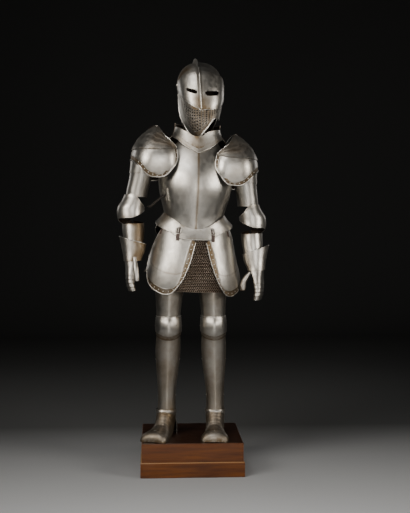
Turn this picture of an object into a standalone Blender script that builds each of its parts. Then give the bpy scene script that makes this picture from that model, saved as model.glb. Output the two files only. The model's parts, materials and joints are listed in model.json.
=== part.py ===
"""Suit of plate armour standing on a two-step wooden plinth, at rest, in metres.

The figure faces -Y, +Z is up and the origin is the middle of the plinth's underside.
Every plate is a patch of a lofted form (trunk, hips, arm, leg, helmet and so on): the patch's
inner face follows the form, and a Solidify modifier gives it its steel thickness outwards.
Limb plates are drawn once for the wearer's left (+X) and mirrored for the right.
"""

import math

import bmesh
import bpy
import numpy as np
from mathutils import Matrix, Vector

# Driving sizes
PLINTH_WIDTH = 0.465
PLINTH_DEPTH = 0.447
PLINTH_HEIGHT = 0.157
PLINTH_STEP_HEIGHT = 0.070
PLINTH_STEP_PROUD = 0.006
STEEL = 0.0015
MAIL = 0.0030
LEATHER = 0.0025
SEAM = 0.0010
LAYER = STEEL + SEAM
SOLE_GAP = 0.0003

# Stance
LEAN = math.radians(2.5)
WAIST_HEIGHT = 1.100
WAIST_SHIFT = 0.010
TRUNK_YAW = math.radians(2.5)
HEAD_YAW = math.radians(5.0)
HEAD_ROLL = math.radians(-3.5)
PIVOT_HEIGHT = 1.816
ARM_SHIFT = -0.009
ARM_DROP = {"left": -0.011, "right": 0.011}
FOREARM_SWING = {"left": math.radians(4.5), "right": math.radians(4.5)}
ELBOW_EASE = {"left": 0.0, "right": -0.0012}
WRIST_EASE = {"left": 0.0, "right": 0.0005}
HAND_YAW = {"left": math.radians(-18.0), "right": 0.0}
FOOT_YAW = {"left": math.radians(-4.0), "right": math.radians(-20.0)}
ANKLE = Vector((0.1155, -0.006, PLINTH_HEIGHT))
ELBOW = Vector((0.290, 0.004, 1.205))
WRIST = Vector((0.290, -0.060, 0.968))
SIDES = {"left": 1, "right": -1}
TASSET_TURN = {"left": 7, "right": -7}
SIGHT_COLUMNS = [0, 0.12, 0.24, 0.33, 0.43, 0.474, 0.5, 0.526, 0.57, 0.67, 0.76, 0.88, 1]
LANCE_REST_ANGLE = -58
LANCE_REST_HEIGHT = 1.290

FINISHES = {
    "steel": ((0.56, 0.55, 0.53), 0.32, 1.0),
    "brown_steel": ((0.42, 0.36, 0.28), 0.38, 1.0),
    "mail": ((0.30, 0.20, 0.14), 0.55, 1.0),
    "leather": ((0.10, 0.05, 0.03), 0.70, 0.0),
    "wood": ((0.30, 0.13, 0.05), 0.45, 0.0),
}


def clear_scene():
    for thing in list(bpy.data.objects):
        bpy.data.objects.remove(thing)


def finish(name):
    """One material per object, named after its finish."""
    colour, roughness, metallic = FINISHES[name]
    material = bpy.data.materials.new(name)
    material.use_nodes = True
    shader = material.node_tree.nodes["Principled BSDF"]
    shader.inputs["Base Color"].default_value = (*colour, 1.0)
    shader.inputs["Roughness"].default_value = roughness
    shader.inputs["Metallic"].default_value = metallic
    return material


def holder(name, matrix, parent=None):
    """An empty that carries a group of plates."""
    empty = bpy.data.objects.new(name, None)
    bpy.context.scene.collection.objects.link(empty)
    empty.parent = parent
    empty.matrix_local = matrix
    return empty


def signed_power(value, power):
    return math.copysign(abs(value) ** power, value)


class Form:
    """A smooth closed form through the rows of a table; each row is one oval ring.

    Columns: station, x y z (ring centre), roll pitch (tilt of the ring, degrees), half (outer half
    width), reach (inner half width), front, back (depths), square (2 is an ellipse), inner (the
    same for the inner quarter), keel (height of the ridge down the front).
    """

    KEEL_WIDTH = math.radians(26)
    NUDGE = 1e-4

    def __init__(self, columns, rows, **same):
        self.names = columns.split()
        self.table = np.array(rows, float)
        self.table = self.table[np.argsort(self.table[:, 0])]
        self.slopes = np.gradient(self.table, self.table[:, 0], axis=0)
        self.same = same

    def sizes(self, station):
        """Every column at this station, on a smooth curve through the rows."""
        stations = self.table[:, 0]
        i = int(np.clip(np.searchsorted(stations, station) - 1, 0, len(stations) - 2))
        step = stations[i + 1] - stations[i]
        u = (station - stations[i]) / step
        if u < 0 or u > 1:
            end = i if u < 0 else i + 1
            row = self.table[end] + self.slopes[end] * (station - stations[end])
        else:
            row = (
                self.table[i] * (2 * u**3 - 3 * u**2 + 1)
                + self.table[i + 1] * (3 * u**2 - 2 * u**3)
                + self.slopes[i] * step * (u**3 - 2 * u**2 + u)
                + self.slopes[i + 1] * step * (u**3 - u**2)
            )
        found = dict(self.same)
        found.update(zip(self.names, row))
        return found

    def middle(self, station):
        found = self.sizes(station)
        return Vector((found.get("x", 0), found.get("y", 0), found.get("z", station)))

    def point(self, station, angle):
        found = self.sizes(station)
        roll = math.radians(found.get("roll", 0))
        pitch = math.radians(found.get("pitch", 0))
        side = Vector((math.cos(roll), 0, -math.sin(roll)))
        ahead = Vector((0, -math.cos(pitch), math.sin(pitch)))
        half, square = found["half"], found.get("square", 2)
        if math.sin(angle) < 0:
            half, square = found.get("reach", half), found.get("inner", square)
        depth = found["front"] if math.cos(angle) > 0 else found["back"]
        across = half * signed_power(math.sin(angle), 2 / square)
        along = depth * signed_power(math.cos(angle), 2 / square)
        turn = abs((angle + math.pi) % (2 * math.pi) - math.pi)
        along += found.get("keel", 0) * max(0, 1 - turn / self.KEEL_WIDTH) ** 1.5
        return self.middle(station) + side * across + ahead * along

    def outward(self, station, angle):
        """The form's unit normal, from two short steps over its surface."""
        here = self.point(station, angle)
        around = self.point(station, angle + self.NUDGE) - self.point(station, angle - self.NUDGE)
        up = self.point(station + self.NUDGE, angle) - self.point(station - self.NUDGE, angle)
        normal = around.cross(up).normalized()
        return normal if normal.dot(here - self.middle(station)) > 0 else -normal


class Helmet(Form):
    """Rings that all meet at the two temple pivots: station is the angle round the pivot axis in
    degrees, 0 ahead and 90 up, and angle runs from temple to temple, 0 on the middle line."""

    COMB_HALF = 0.0075

    def middle(self, station):
        return Vector((0, 0, 0))

    def point(self, station, angle):
        found = self.sizes(station)
        power = 2 / found["square"]
        across = found["half"] * signed_power(math.sin(angle), power)
        radius = found["front"] * max(0, math.cos(angle)) ** power
        crest = found.get("crest_half", self.COMB_HALF)
        radius += found.get("comb", 0) * max(0, 1 - abs(across) / crest)
        turn = math.radians(station)
        return Vector((across, -radius * math.cos(turn), radius * math.sin(turn)))


def spaced(count):
    """Even steps from 0 to 1, or the steps given."""
    return list(np.linspace(0, 1, count + 1)) if isinstance(count, int) else count


def value_at(edge, share):
    return edge(share) if callable(edge) else edge


def plate(name, form, around, along, cells, parent, side=1, out=0.0, wall=STEEL, swell=None, hole=None,
          look="steel"):
    """One plate: the patch of a form between two angles (degrees) and two stations.

    Each limit is a number or a function of the share along that edge; along may hold more than
    two, for lines that the cells keep to. swell is an extra lift, and hole leaves cells out.
    """
    shares = spaced(cells[0])
    levels = spaced(cells[1])
    bands = np.linspace(0, 1, len(along))

    def station_at(share, level):
        return float(np.interp(level, bands, [value_at(limit, share) for limit in along]))

    mesh = bmesh.new()
    grid = []
    for level in levels:
        start, end = (value_at(limit, level) for limit in around)
        row = []
        for share in shares:
            station = station_at(share, level)
            angle = math.radians(start + (end - start) * share)
            lift = out + (swell(share, level) if swell else 0)
            spot = form.point(station, angle) + form.outward(station, angle) * lift
            spot.x *= side
            row.append(mesh.verts.new(spot))
        grid.append(row)
    inside_out = 0.0
    for i in range(len(levels) - 1):
        for j in range(len(shares) - 1):
            middle_share = (shares[j] + shares[j + 1]) / 2
            middle_level = (levels[i] + levels[i + 1]) / 2
            if hole and hole(middle_share, middle_level):
                continue
            face = mesh.faces.new((grid[i][j], grid[i][j + 1], grid[i + 1][j + 1], grid[i + 1][j]))
            face.normal_update()
            core = form.middle(station_at(middle_share, middle_level))
            core.x *= side
            inside_out += face.normal.dot(face.calc_center_median() - core)
    if inside_out < 0:
        bmesh.ops.reverse_faces(mesh, faces=mesh.faces)
    data = bpy.data.meshes.new(name)
    mesh.to_mesh(data)
    mesh.free()
    thing = bpy.data.objects.new(name, data)
    bpy.context.scene.collection.objects.link(thing)
    thing.parent = parent
    data.materials.append(finish(look))
    thickness = thing.modifiers.new("steel thickness", "SOLIDIFY")
    thickness.thickness = wall
    thickness.offset = 1
    thickness.use_even_offset = True
    data.shade_smooth()
    return thing


def through(*pairs):
    """A smooth edge through (share, value) pairs."""
    shares, values = np.array(pairs, float).T
    slopes = np.gradient(values, shares)

    def edge(share):
        i = int(np.clip(np.searchsorted(shares, share) - 1, 0, len(shares) - 2))
        step = shares[i + 1] - shares[i]
        u = (share - shares[i]) / step
        return float(
            values[i] * (2 * u**3 - 3 * u**2 + 1)
            + values[i + 1] * (3 * u**2 - 2 * u**3)
            + slopes[i] * step * (u**3 - 2 * u**2 + u)
            + slopes[i + 1] * step * (u**3 - u**2)
        )

    return edge


def straight(*pairs):
    """An edge of straight stretches through (share, value) pairs."""
    shares, values = np.array(pairs, float).T
    return lambda share: float(np.interp(share, shares, values))


# Forms: the inner face of the innermost layer of steel, in metres

TRUNK = Form(
    "z half front back keel",
    [
        (1.090, 0.150, 0.133, 0.104, 0.006),
        (1.125, 0.145, 0.134, 0.098, 0.008),
        (1.160, 0.140, 0.136, 0.093, 0.009),
        (1.195, 0.139, 0.141, 0.090, 0.009),
        (1.235, 0.148, 0.151, 0.093, 0.009),
        (1.280, 0.161, 0.162, 0.102, 0.009),
        (1.330, 0.171, 0.168, 0.112, 0.008),
        (1.380, 0.175, 0.162, 0.120, 0.007),
        (1.430, 0.170, 0.146, 0.123, 0.005),
        (1.480, 0.152, 0.122, 0.116, 0.004),
        (1.520, 0.124, 0.100, 0.100, 0.003),
        (1.550, 0.098, 0.084, 0.084, 0.002),
    ],
    square=2.25,
)

HIPS = Form(
    "z half front back",
    [
        (1.205, 0.1410, 0.1440, 0.0944),
        (1.175, 0.155, 0.1435, 0.106),
        (1.145, 0.171, 0.1430, 0.124),
        (1.110, 0.183, 0.149, 0.138),
        (1.084, 0.189, 0.156, 0.146),
        (1.040, 0.199, 0.166, 0.158),
        (0.984, 0.213, 0.178, 0.168),
        (0.934, 0.226, 0.185, 0.174),
        (0.880, 0.235, 0.187, 0.176),
        (0.820, 0.238, 0.184, 0.176),
    ],
    square=2.15,
)

COLLAR = Form(
    "z half front back keel",
    [
        (1.470, 0.190, 0.1260, 0.1214, 0.006),
        (1.500, 0.170, 0.1135, 0.1132, 0.006),
        (1.530, 0.148, 0.105, 0.106, 0.007),
        (1.560, 0.126, 0.098, 0.104, 0.007),
        (1.580, 0.112, 0.095, 0.100, 0.006),
        (1.600, 0.105, 0.094, 0.098, 0.003),
        (1.640, 0.104, 0.096, 0.100, 0.000),
    ],
    square=2.05,
)

HEAD = Helmet(
    "angle half front square comb",
    [
        (-110, 0.098, 0.330, 2.30, 0.000),
        (-90, 0.097, 0.300, 2.25, 0.000),
        (-76, 0.093, 0.285, 2.20, 0.002),
        (-67, 0.094, 0.274, 2.20, 0.004),
        (-58, 0.099, 0.246, 2.25, 0.005),
        (-50, 0.102, 0.217, 2.30, 0.007),
        (-41, 0.1028, 0.196, 2.35, 0.009),
        (-30, 0.103, 0.166, 2.45, 0.012),
        (-15, 0.103, 0.139, 2.50, 0.016),
        (0, 0.103, 0.121, 2.50, 0.020),
        (20, 0.103, 0.110, 2.40, 0.023),
        (45, 0.103, 0.1035, 2.25, 0.024),
        (70, 0.103, 0.1020, 2.20, 0.024),
        (90, 0.103, 0.1030, 2.20, 0.024),
        (120, 0.103, 0.1080, 2.20, 0.021),
        (150, 0.103, 0.1160, 2.25, 0.015),
        (180, 0.103, 0.1180, 2.30, 0.008),
        (210, 0.102, 0.1300, 2.30, 0.002),
        (230, 0.100, 0.1600, 2.30, 0.000),
        (246, 0.098, 0.2300, 2.30, 0.000),
        (270, 0.097, 0.3100, 2.30, 0.000),
    ],
    crest_half=0.0095,
)

SHOULDER = Form(
    "z x half reach front back",
    [
        (1.340, 0.198, 0.101, 0.106, 0.144, 0.128),
        (1.370, 0.198, 0.104, 0.114, 0.156, 0.138),
        (1.400, 0.197, 0.106, 0.119, 0.164, 0.146),
        (1.440, 0.196, 0.1031, 0.119, 0.166, 0.152),
        (1.480, 0.193, 0.099, 0.112, 0.156, 0.150),
        (1.510, 0.190, 0.089, 0.100, 0.137, 0.138),
        (1.540, 0.186, 0.073, 0.078, 0.108, 0.114),
        (1.570, 0.182, 0.045, 0.046, 0.072, 0.076),
        (1.590, 0.180, 0.020, 0.021, 0.034, 0.036),
        (1.600, 0.179, 0.006, 0.006, 0.010, 0.010),
    ],
    square=2.3,
    inner=4.0,
)

ARM = Form(
    "z x y half front back",
    [
        (1.450, 0.236, -0.002, 0.060, 0.072, 0.070),
        (1.400, 0.243, -0.002, 0.055, 0.065, 0.064),
        (1.350, 0.252, 0.000, 0.051, 0.058, 0.058),
        (1.300, 0.262, 0.002, 0.049, 0.053, 0.053),
        (1.240, 0.273, 0.004, 0.048, 0.050, 0.050),
        (1.205, 0.290, 0.004, 0.047, 0.049, 0.050),
    ],
)

FOREARM = Form(
    "z x y half front back",
    [
        (1.190, 0.286, 0.000, 0.041, 0.044, 0.042),
        (1.160, 0.284, -0.004, 0.0475, 0.052, 0.048),
        (1.120, 0.283, -0.014, 0.0500, 0.054, 0.050),
        (1.060, 0.284, -0.030, 0.0455, 0.048, 0.046),
        (1.000, 0.286, -0.048, 0.0380, 0.040, 0.038),
        (0.960, 0.288, -0.060, 0.0340, 0.036, 0.034),
    ],
)

CUFF = Form(
    "z x y half reach front back",
    [
        (1.075, 0.282, -0.026, 0.067, 0.061, 0.064, 0.062),
        (1.040, 0.282, -0.036, 0.0600, 0.056, 0.058, 0.056),
        (1.000, 0.285, -0.048, 0.0510, 0.0490, 0.050, 0.048),
        (0.970, 0.2910, -0.0590, 0.0418, 0.0403, 0.0448, 0.0438),
        (0.955, 0.2920, -0.0640, 0.0403, 0.0378, 0.0453, 0.0443),
    ],
)

HAND = Form(
    "z x y half reach front back",
    [
        (0.985, 0.290, -0.054, 0.0375, 0.0365, 0.0375, 0.0370),
        (0.955, 0.292, -0.064, 0.0330, 0.0300, 0.0400, 0.0390),
        (0.925, 0.298, -0.074, 0.0260, 0.0210, 0.0440, 0.0420),
        (0.885, 0.304, -0.084, 0.0220, 0.0170, 0.0460, 0.0440),
        (0.860, 0.304, -0.090, 0.0200, 0.0150, 0.0440, 0.0420),
        (0.838, 0.300, -0.095, 0.0170, 0.0130, 0.0390, 0.0370),
        (0.824, 0.294, -0.098, 0.0120, 0.0090, 0.0310, 0.0300),
    ],
    square=2.3,
)

THUMB = Form(
    "z x y half front back",
    [
        (0.985, 0.2760, -0.0690, 0.0100, 0.0100, 0.0100),
        (0.962, 0.2728, -0.0768, 0.0104, 0.0110, 0.0092),
        (0.940, 0.2556, -0.0876, 0.0138, 0.0128, 0.0124),
        (0.905, 0.2360, -0.0960, 0.0140, 0.0130, 0.0130),
        (0.885, 0.2300, -0.1000, 0.0110, 0.0110, 0.0110),
        (0.870, 0.2280, -0.1020, 0.0060, 0.0070, 0.0070),
    ],
)

COUTER = Form(
    "z x y half reach front back",
    [
        (1.290, 0.2635, 0.002, 0.0545, 0.0545, 0.0545, 0.0560),
        (1.268, 0.2677, 0.002, 0.0545, 0.0545, 0.0526, 0.0539),
        (1.245, 0.2750, 0.004, 0.0580, 0.0580, 0.0600, 0.0630),
        (1.215, 0.2860, 0.004, 0.0655, 0.0620, 0.0665, 0.0700),
        (1.195, 0.2880, 0.004, 0.0675, 0.0620, 0.0680, 0.0700),
        (1.165, 0.2870, 0.000, 0.0662, 0.0590, 0.0678, 0.0556),
        (1.133, 0.2840, -0.008, 0.0600, 0.0550, 0.0650, 0.0477),
        (1.120, 0.2835, -0.012, 0.0590, 0.0540, 0.0635, 0.0471),
    ],
)

LEG = Form(
    "z x y half front back",
    [
        (1.020, 0.0960, -0.002, 0.079, 0.084, 0.080),
        (0.950, 0.0990, -0.004, 0.075, 0.083, 0.077),
        (0.850, 0.1030, -0.008, 0.067, 0.079, 0.069),
        (0.800, 0.1040, -0.010, 0.0620, 0.075, 0.064),
        (0.740, 0.1060, -0.012, 0.0560, 0.067, 0.058),
        (0.700, 0.1070, -0.013, 0.0545, 0.064, 0.055),
        (0.640, 0.1070, -0.010, 0.0540, 0.059, 0.054),
        (0.600, 0.1080, -0.004, 0.0570, 0.057, 0.059),
        (0.560, 0.1090, 0.002, 0.0580, 0.056, 0.064),
        (0.520, 0.1100, 0.006, 0.0560, 0.055, 0.067),
        (0.450, 0.1120, 0.008, 0.0500, 0.051, 0.061),
        (0.400, 0.1140, 0.007, 0.0445, 0.048, 0.054),
        (0.350, 0.1150, 0.003, 0.0410, 0.045, 0.048),
        (0.310, 0.1155, -0.001, 0.0400, 0.044, 0.045),
        (0.275, 0.1155, -0.004, 0.0420, 0.046, 0.046),
        (0.250, 0.1155, -0.006, 0.0450, 0.050, 0.049),
    ],
    keel=0.003,
)

KNEE = Form(
    "z x y half front back keel",
    [
        (0.745, 0.1060, -0.012, 0.0575, 0.0685, 0.0590, 0.003),
        (0.720, 0.1065, -0.013, 0.0580, 0.0690, 0.0580, 0.004),
        (0.695, 0.1070, -0.013, 0.0610, 0.077, 0.060, 0.007),
        (0.670, 0.1070, -0.013, 0.0620, 0.079, 0.060, 0.008),
        (0.645, 0.1070, -0.012, 0.0610, 0.076, 0.059, 0.007),
        (0.625, 0.1075, -0.010, 0.0595, 0.0690, 0.060, 0.006),
        (0.600, 0.1080, -0.005, 0.0595, 0.0620, 0.061, 0.005),
    ],
    square=2.3,
)

# Stations run from the toe to the ankle; the rings turn from upright to level on the way.
FOOT = Form(
    "station y z pitch half front back",
    [
        (0.000, -0.2075, PLINTH_HEIGHT, 90, 0.046, 0.002, 0.020),
        (0.004, -0.2060, PLINTH_HEIGHT, 90, 0.053, 0.020, 0.020),
        (0.014, -0.1950, PLINTH_HEIGHT, 90, 0.0595, 0.035, 0.020),
        (0.045, -0.165, PLINTH_HEIGHT, 90, 0.0605, 0.042, 0.020),
        (0.085, -0.125, PLINTH_HEIGHT, 88, 0.0530, 0.048, 0.020),
        (0.120, -0.092, PLINTH_HEIGHT, 82, 0.0460, 0.060, 0.022),
        (0.150, -0.062, PLINTH_HEIGHT + 0.002, 70, 0.0430, 0.076, 0.030),
        (0.175, -0.040, PLINTH_HEIGHT + 0.016, 52, 0.0420, 0.081, 0.045),
        (0.205, -0.020, PLINTH_HEIGHT + 0.048, 26, 0.0420, 0.070, 0.052),
        (0.240, -0.008, PLINTH_HEIGHT + 0.090, 6, 0.0440, 0.055, 0.050),
        (0.262, -0.006, PLINTH_HEIGHT + 0.112, 0, 0.0475, 0.0510, 0.050),
        (0.271, -0.006, PLINTH_HEIGHT + 0.121, 0, 0.0475, 0.0500, 0.050),
    ],
    square=2.4,
)

HEEL = Form(
    "z y half front back",
    [
        (PLINTH_HEIGHT, 0.004, 0.041, 0.050, 0.068),
        (PLINTH_HEIGHT + 0.030, 0.004, 0.042, 0.050, 0.070),
        (PLINTH_HEIGHT + 0.060, 0.000, 0.0400, 0.050, 0.056),
        (PLINTH_HEIGHT + 0.090, -0.004, 0.0390, 0.050, 0.0450),
        (PLINTH_HEIGHT + 0.110, -0.006, 0.0385, 0.050, 0.0425),
    ],
)

SKIRT = Form(
    "z half reach front back",
    [
        (1.145, 0.134, 0.134, 0.124, 0.094),
        (1.110, 0.147, 0.148, 0.128, 0.106),
        (1.060, 0.161, 0.166, 0.130, 0.120),
        (1.000, 0.1722, 0.1806, 0.126, 0.126),
        (0.920, 0.1745, 0.1835, 0.120, 0.116),
        (0.838, 0.1745, 0.1835, 0.1125, 0.110),
    ],
    square=2.7,
    inner=2.7,
)


def build_head(head):
    visor_top = through((0, 22), (0.5, 24), (1, 22))
    sight_low = through((0, -20), (0.5, -25), (1, -20))
    sight_high = through((0, -15), (0.5, -20), (1, -15))
    visor_low = through((0, -53), (0.12, -52), (0.3, -45), (0.5, -41), (0.7, -45), (0.88, -52), (1, -53))
    bevor_low = through((0, -104), (0.1, -97), (0.25, -77), (0.4, -68), (0.5, -66.5),
                        (0.6, -68), (0.75, -77), (0.9, -97), (1, -104))
    nape = through((0, 268), (0.25, 256), (0.5, 246), (0.75, 256), (1, 268))

    def sights(share, level):
        return 0.16 < abs(share - 0.5) * 2 < 0.50 and 0.34 < level < 0.66

    plate("helmet_skull", HEAD, (-84, 84), (14, nape), (SIGHT_COLUMNS, 11), head)
    plate("bevor", HEAD, (-84, 84), (bevor_low, -26), (SIGHT_COLUMNS, 5), head, out=LAYER)
    plate("visor", HEAD, (-84, 84), (visor_low, sight_low, sight_high, visor_top), (SIGHT_COLUMNS, [0, 1 / 6, 1 / 3, 2 / 3, 7 / 9, 8 / 9, 1]), head,
          out=2 * LAYER + 0.0014, hole=sights)


def build_trunk(trunk):
    side_front = straight((0, 89.85), (0.45, 89.85), (0.75, 62), (1, 58))
    side_back = straight((0, 90.15), (0.45, 90.15), (0.75, 118), (1, 122))
    plate("breastplate", TRUNK, (lambda level: -side_front(level), side_front),
          (through((0, 1.190), (0.25, 1.150), (0.5, 1.122), (0.75, 1.150), (1, 1.190)), 1.500), (12, 9), trunk)
    plate("backplate", TRUNK, (side_back, lambda level: 360 - side_back(level)), (1.190, 1.500), (8, 7), trunk)
    plate("gorget_front", COLLAR, (-89.75, 89.75), (straight((0, 1.572), (0.25, 1.548), (0.5, 1.487), (0.75, 1.548), (1, 1.572)),
                                              straight((0, 1.590), (0.25, 1.576), (0.5, 1.520), (0.75, 1.576), (1, 1.590))),
          (10, 2), trunk)
    plate("gorget_back", COLLAR, (90.25, 269.75), (through((0, 1.545), (0.25, 1.510), (0.5, 1.488), (0.75, 1.510), (1, 1.545)), 1.590), (8, 3), trunk)
    plate("collar_front", COLLAR, (-89.75, 89.75), (straight((0, 1.582), (0.25, 1.566), (0.5, 1.505), (0.75, 1.566), (1, 1.582)),
                                              through((0, 1.624), (0.2, 1.602), (0.35, 1.574), (0.5, 1.562), (0.65, 1.562), (0.8, 1.584), (1, 1.622))),
          (10, 3), trunk, out=LAYER)
    plate("collar_back", COLLAR, (90.25, 269.75), (1.578, 1.630), (8, 2), trunk, out=LAYER + 0.0005)


def build_skirts(trunk):
    apron = straight((0, 1.155), (0.27, 1.118), (0.34, 1.100), (0.40, 1.084), (0.60, 1.084), (0.66, 1.100), (0.73, 1.118), (1, 1.155))
    belt = through((0, 1.203), (0.25, 1.160), (0.5, 1.134), (0.75, 1.160), (1, 1.203))
    plate("fauld", HIPS, (-86, 86), (apron, belt), (16, 2), trunk, out=LAYER + 0.0006,
          swell=lambda share, level: -0.0024 * level * max(0, 1 - abs(share - 0.5) / 0.13))
    plate("culet", HIPS, (98, 262), (through((0, 1.130), (0.5, 1.030), (1, 1.130)), 1.203), (10, 3), trunk, out=LAYER)
    plate("mail_skirt", SKIRT, (-180, 172), (0.841, 1.140), (24, 4), trunk, wall=MAIL, look="mail")
    for side_name, side in SIDES.items():
        turn = TASSET_TURN[side_name]
        inner = through((0, 22), (0.12, 19), (0.3, 15.5), (0.5, 12.5), (0.8, 9), (1, 7))
        outer = through((0, 78), (0.2, 84), (0.5, 80), (0.8, 68), (1, 60))
        plate(f"tasset_{side_name}", HIPS, (lambda level: inner(level) + turn, lambda level: outer(level) + turn),
              (through((0, 0.878), (0.15, 0.838), (0.3, 0.829), (0.5, 0.840), (0.75, 0.868), (0.9, 0.900), (1, 0.940)),
               straight((0, 1.072), (0.12, 1.100), (0.3, 1.126), (1, 1.165))), (8, 6), trunk, side=side)
        for i, (angle, top) in enumerate(((24, 1.140), (58, 1.166))):
            plate(f"tasset_strap_{side_name}_{i + 1}", HIPS, (angle - 2.4, angle + 2.4), (top - 0.062, top), (1, [0, 0.2, 0.5, 1]), trunk, side=side,
                  out=LAYER, wall=LEATHER, look="leather", swell=lambda share, level: (STEEL + 0.0014) * min(1, level * 5))


def build_arm(side_name, side, upper, elbow, lower, hand):
    wing = through((0, 1.400), (0.08, 1.366), (0.2, 1.356), (0.34, 1.410), (0.5, 1.428), (0.66, 1.410), (0.8, 1.352), (0.92, 1.360), (1, 1.400))
    plate(f"pauldron_main_{side_name}", SHOULDER, (through((0, -30), (0.4, -48), (1, -50)), through((0, 210), (0.4, 228), (1, 230))),
          (wing, 1.490), (16, 3), upper, side=side, out=LAYER)
    plate(f"pauldron_top_{side_name}", SHOULDER, (through((0, -50), (0.2, -36), (0.5, -14), (1, 0)), through((0, 230), (0.2, 216), (0.5, 196), (1, 180))),
          (through((0, 1.490), (0.2, 1.478), (0.8, 1.478), (1, 1.490)), 1.595), (16, 4), upper, side=side, out=2 * LAYER + 0.0020)
    plate(f"shoulder_lame_{side_name}", ARM, (-25, 175), (1.372, 1.440), (8, 2), upper, side=side, out=LAYER + 0.0005)
    plate(f"upper_cannon_{side_name}", ARM, (-175, 175), (1.262, 1.392), (14, 2), upper, side=side)
    plate(f"couter_{side_name}", COUTER, (-75, 175),
          (through((0, 1.198), (0.13, 1.182), (0.3, 1.165), (0.42, 1.163), (0.54, 1.161), (0.66, 1.154), (0.8, 1.138), (1, 1.142)),
           through((0, 1.212), (0.13, 1.230), (0.32, 1.268), (0.6, 1.271), (1, 1.262))), (10, 4), elbow, side=side, out=ELBOW_EASE[side_name])
    plate(f"lower_cannon_{side_name}", FOREARM, (-175, 175), (0.985, through((0, 1.150), (0.2, 1.139), (0.5, 1.135), (0.8, 1.139), (1, 1.150))),
          (14, 3), lower, side=side, out=WRIST_EASE[side_name])
    plate(f"gauntlet_cuff_{side_name}", CUFF, (-175, 175), (0.962, through((0, 1.060), (0.25, 1.036), (0.5, 1.056), (0.75, 1.078), (1, 1.062))),
          (14, 2), hand, side=side)
    plate(f"hand_plate_{side_name}", HAND, (-25, 175), (0.902, 0.984), (8, 3), hand, side=side, out=LAYER)
    plate(f"finger_plates_{side_name}", HAND, (-50, 175), (0.826, 0.915), (9, 3), hand, side=side)
    plate(f"thumb_plate_{side_name}", THUMB, (-60, 95), (0.872, 0.982), (6, 4), hand, side=side)


def build_leg(side_name, side, leg, foot):
    plate(f"cuisse_{side_name}", LEG, (-120, 120), (0.700, 0.985), (12, 4), leg, side=side)
    plate(f"poleyn_{side_name}", KNEE, (-105, 105), (0.632, 0.722), (14, 4), leg, side=side)
    plate(f"poleyn_lame_{side_name}", KNEE, (-90, 90), (through((0, 0.628), (0.5, 0.609), (1, 0.628)), 0.645), (12, 2), leg, side=side, out=-LAYER - 0.0003)
    plate(f"greave_front_{side_name}", LEG, (-89.6, 89.6), (0.270, 0.628), (8, 6), leg, side=side)
    plate(f"greave_back_{side_name}", LEG, (90.4, 269.6), (0.261, 0.615), (8, 6), leg, side=side)
    plate(f"sabaton_toe_{side_name}", FOOT, (-90, 90), (0, 0.052), (10, [0, 0.08, 0.3, 0.65, 1]), foot, side=side, out=LAYER)
    plate(f"sabaton_{side_name}", FOOT, (-90, 90), (0.040, 0.271), (10, 6), foot, side=side)
    plate(f"sabaton_heel_{side_name}", HEEL, (100, 260), (PLINTH_HEIGHT, PLINTH_HEIGHT + 0.108), (8, 3), foot, side=side)


def solid(name, points, faces, look, parent=None):
    data = bpy.data.meshes.new(name)
    data.from_pydata([tuple(point) for point in points], [], faces)
    data.materials.append(finish(look))
    thing = bpy.data.objects.new(name, data)
    bpy.context.scene.collection.objects.link(thing)
    thing.parent = parent
    return thing


def build_plinth():
    """A stack of square rings: the wider lower step, then the upper one with eased edges."""
    step, top, proud, ease = PLINTH_STEP_HEIGHT, PLINTH_HEIGHT, PLINTH_STEP_PROUD, 0.003
    profile = [(0.0, proud - ease), (ease, proud), (step - ease, proud), (step, proud - ease), (step, 0.0), (top - ease, 0.0), (top, -ease)]
    points, faces = [], []
    for height, more in profile:
        x, y = PLINTH_WIDTH / 2 + more, PLINTH_DEPTH / 2 + more
        points += [(-x, -y, height), (x, -y, height), (x, y, height), (-x, y, height)]
    for i in range(len(profile) - 1):
        for j in range(4):
            k = (j + 1) % 4
            faces.append((4 * i + j, 4 * i + k, 4 * i + 4 + k, 4 * i + 4 + j))
    faces.append((3, 2, 1, 0))
    faces.append(tuple(4 * (len(profile) - 1) + j for j in range(4)))
    solid("plinth", points, faces, "wood")


def swept_bar(name, path, width, depth, look, parent):
    """A bar of eight-sided section along a path of points, with closed ends."""
    points, faces = [], []
    path = [Vector(point) for point in path]
    for i, point in enumerate(path):
        ahead = (path[min(i + 1, len(path) - 1)] - path[max(i - 1, 0)]).normalized()
        side = ahead.cross(Vector((0, 0, 1))).normalized()
        up = side.cross(ahead)
        for k in range(8):
            turn = math.tau * k / 8
            points.append(point + side * (math.cos(turn) * width / 2) + up * (math.sin(turn) * depth / 2))
    for i in range(len(path) - 1):
        for k in range(8):
            m = (k + 1) % 8
            faces.append((8 * i + 8 + k, 8 * i + 8 + m, 8 * i + m, 8 * i + k))
    faces.append(tuple(range(8)))
    faces.append(tuple(8 * (len(path) - 1) + k for k in range(7, -1, -1)))
    return solid(name, points, faces, look, parent)


def build_lance_rest(trunk):
    angle = math.radians(LANCE_REST_ANGLE)
    plate("lance_rest_bracket", TRUNK, (LANCE_REST_ANGLE - 7, LANCE_REST_ANGLE + 7), (LANCE_REST_HEIGHT - 0.028, LANCE_REST_HEIGHT + 0.028),
          (2, 2), trunk, out=STEEL + 0.0010, wall=0.004)
    start = TRUNK.point(LANCE_REST_HEIGHT, angle)
    out = TRUNK.outward(LANCE_REST_HEIGHT, angle)
    swept_bar("lance_rest_arm", [start + out * reach + Vector((0, 0, drop)) for reach, drop in
                                 ((0.0078, 0), (0.020, -0.004), (0.045, -0.018), (0.070, -0.034), (0.088, -0.042), (0.100, -0.040))],
              0.016, 0.009, "steel", trunk)


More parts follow.
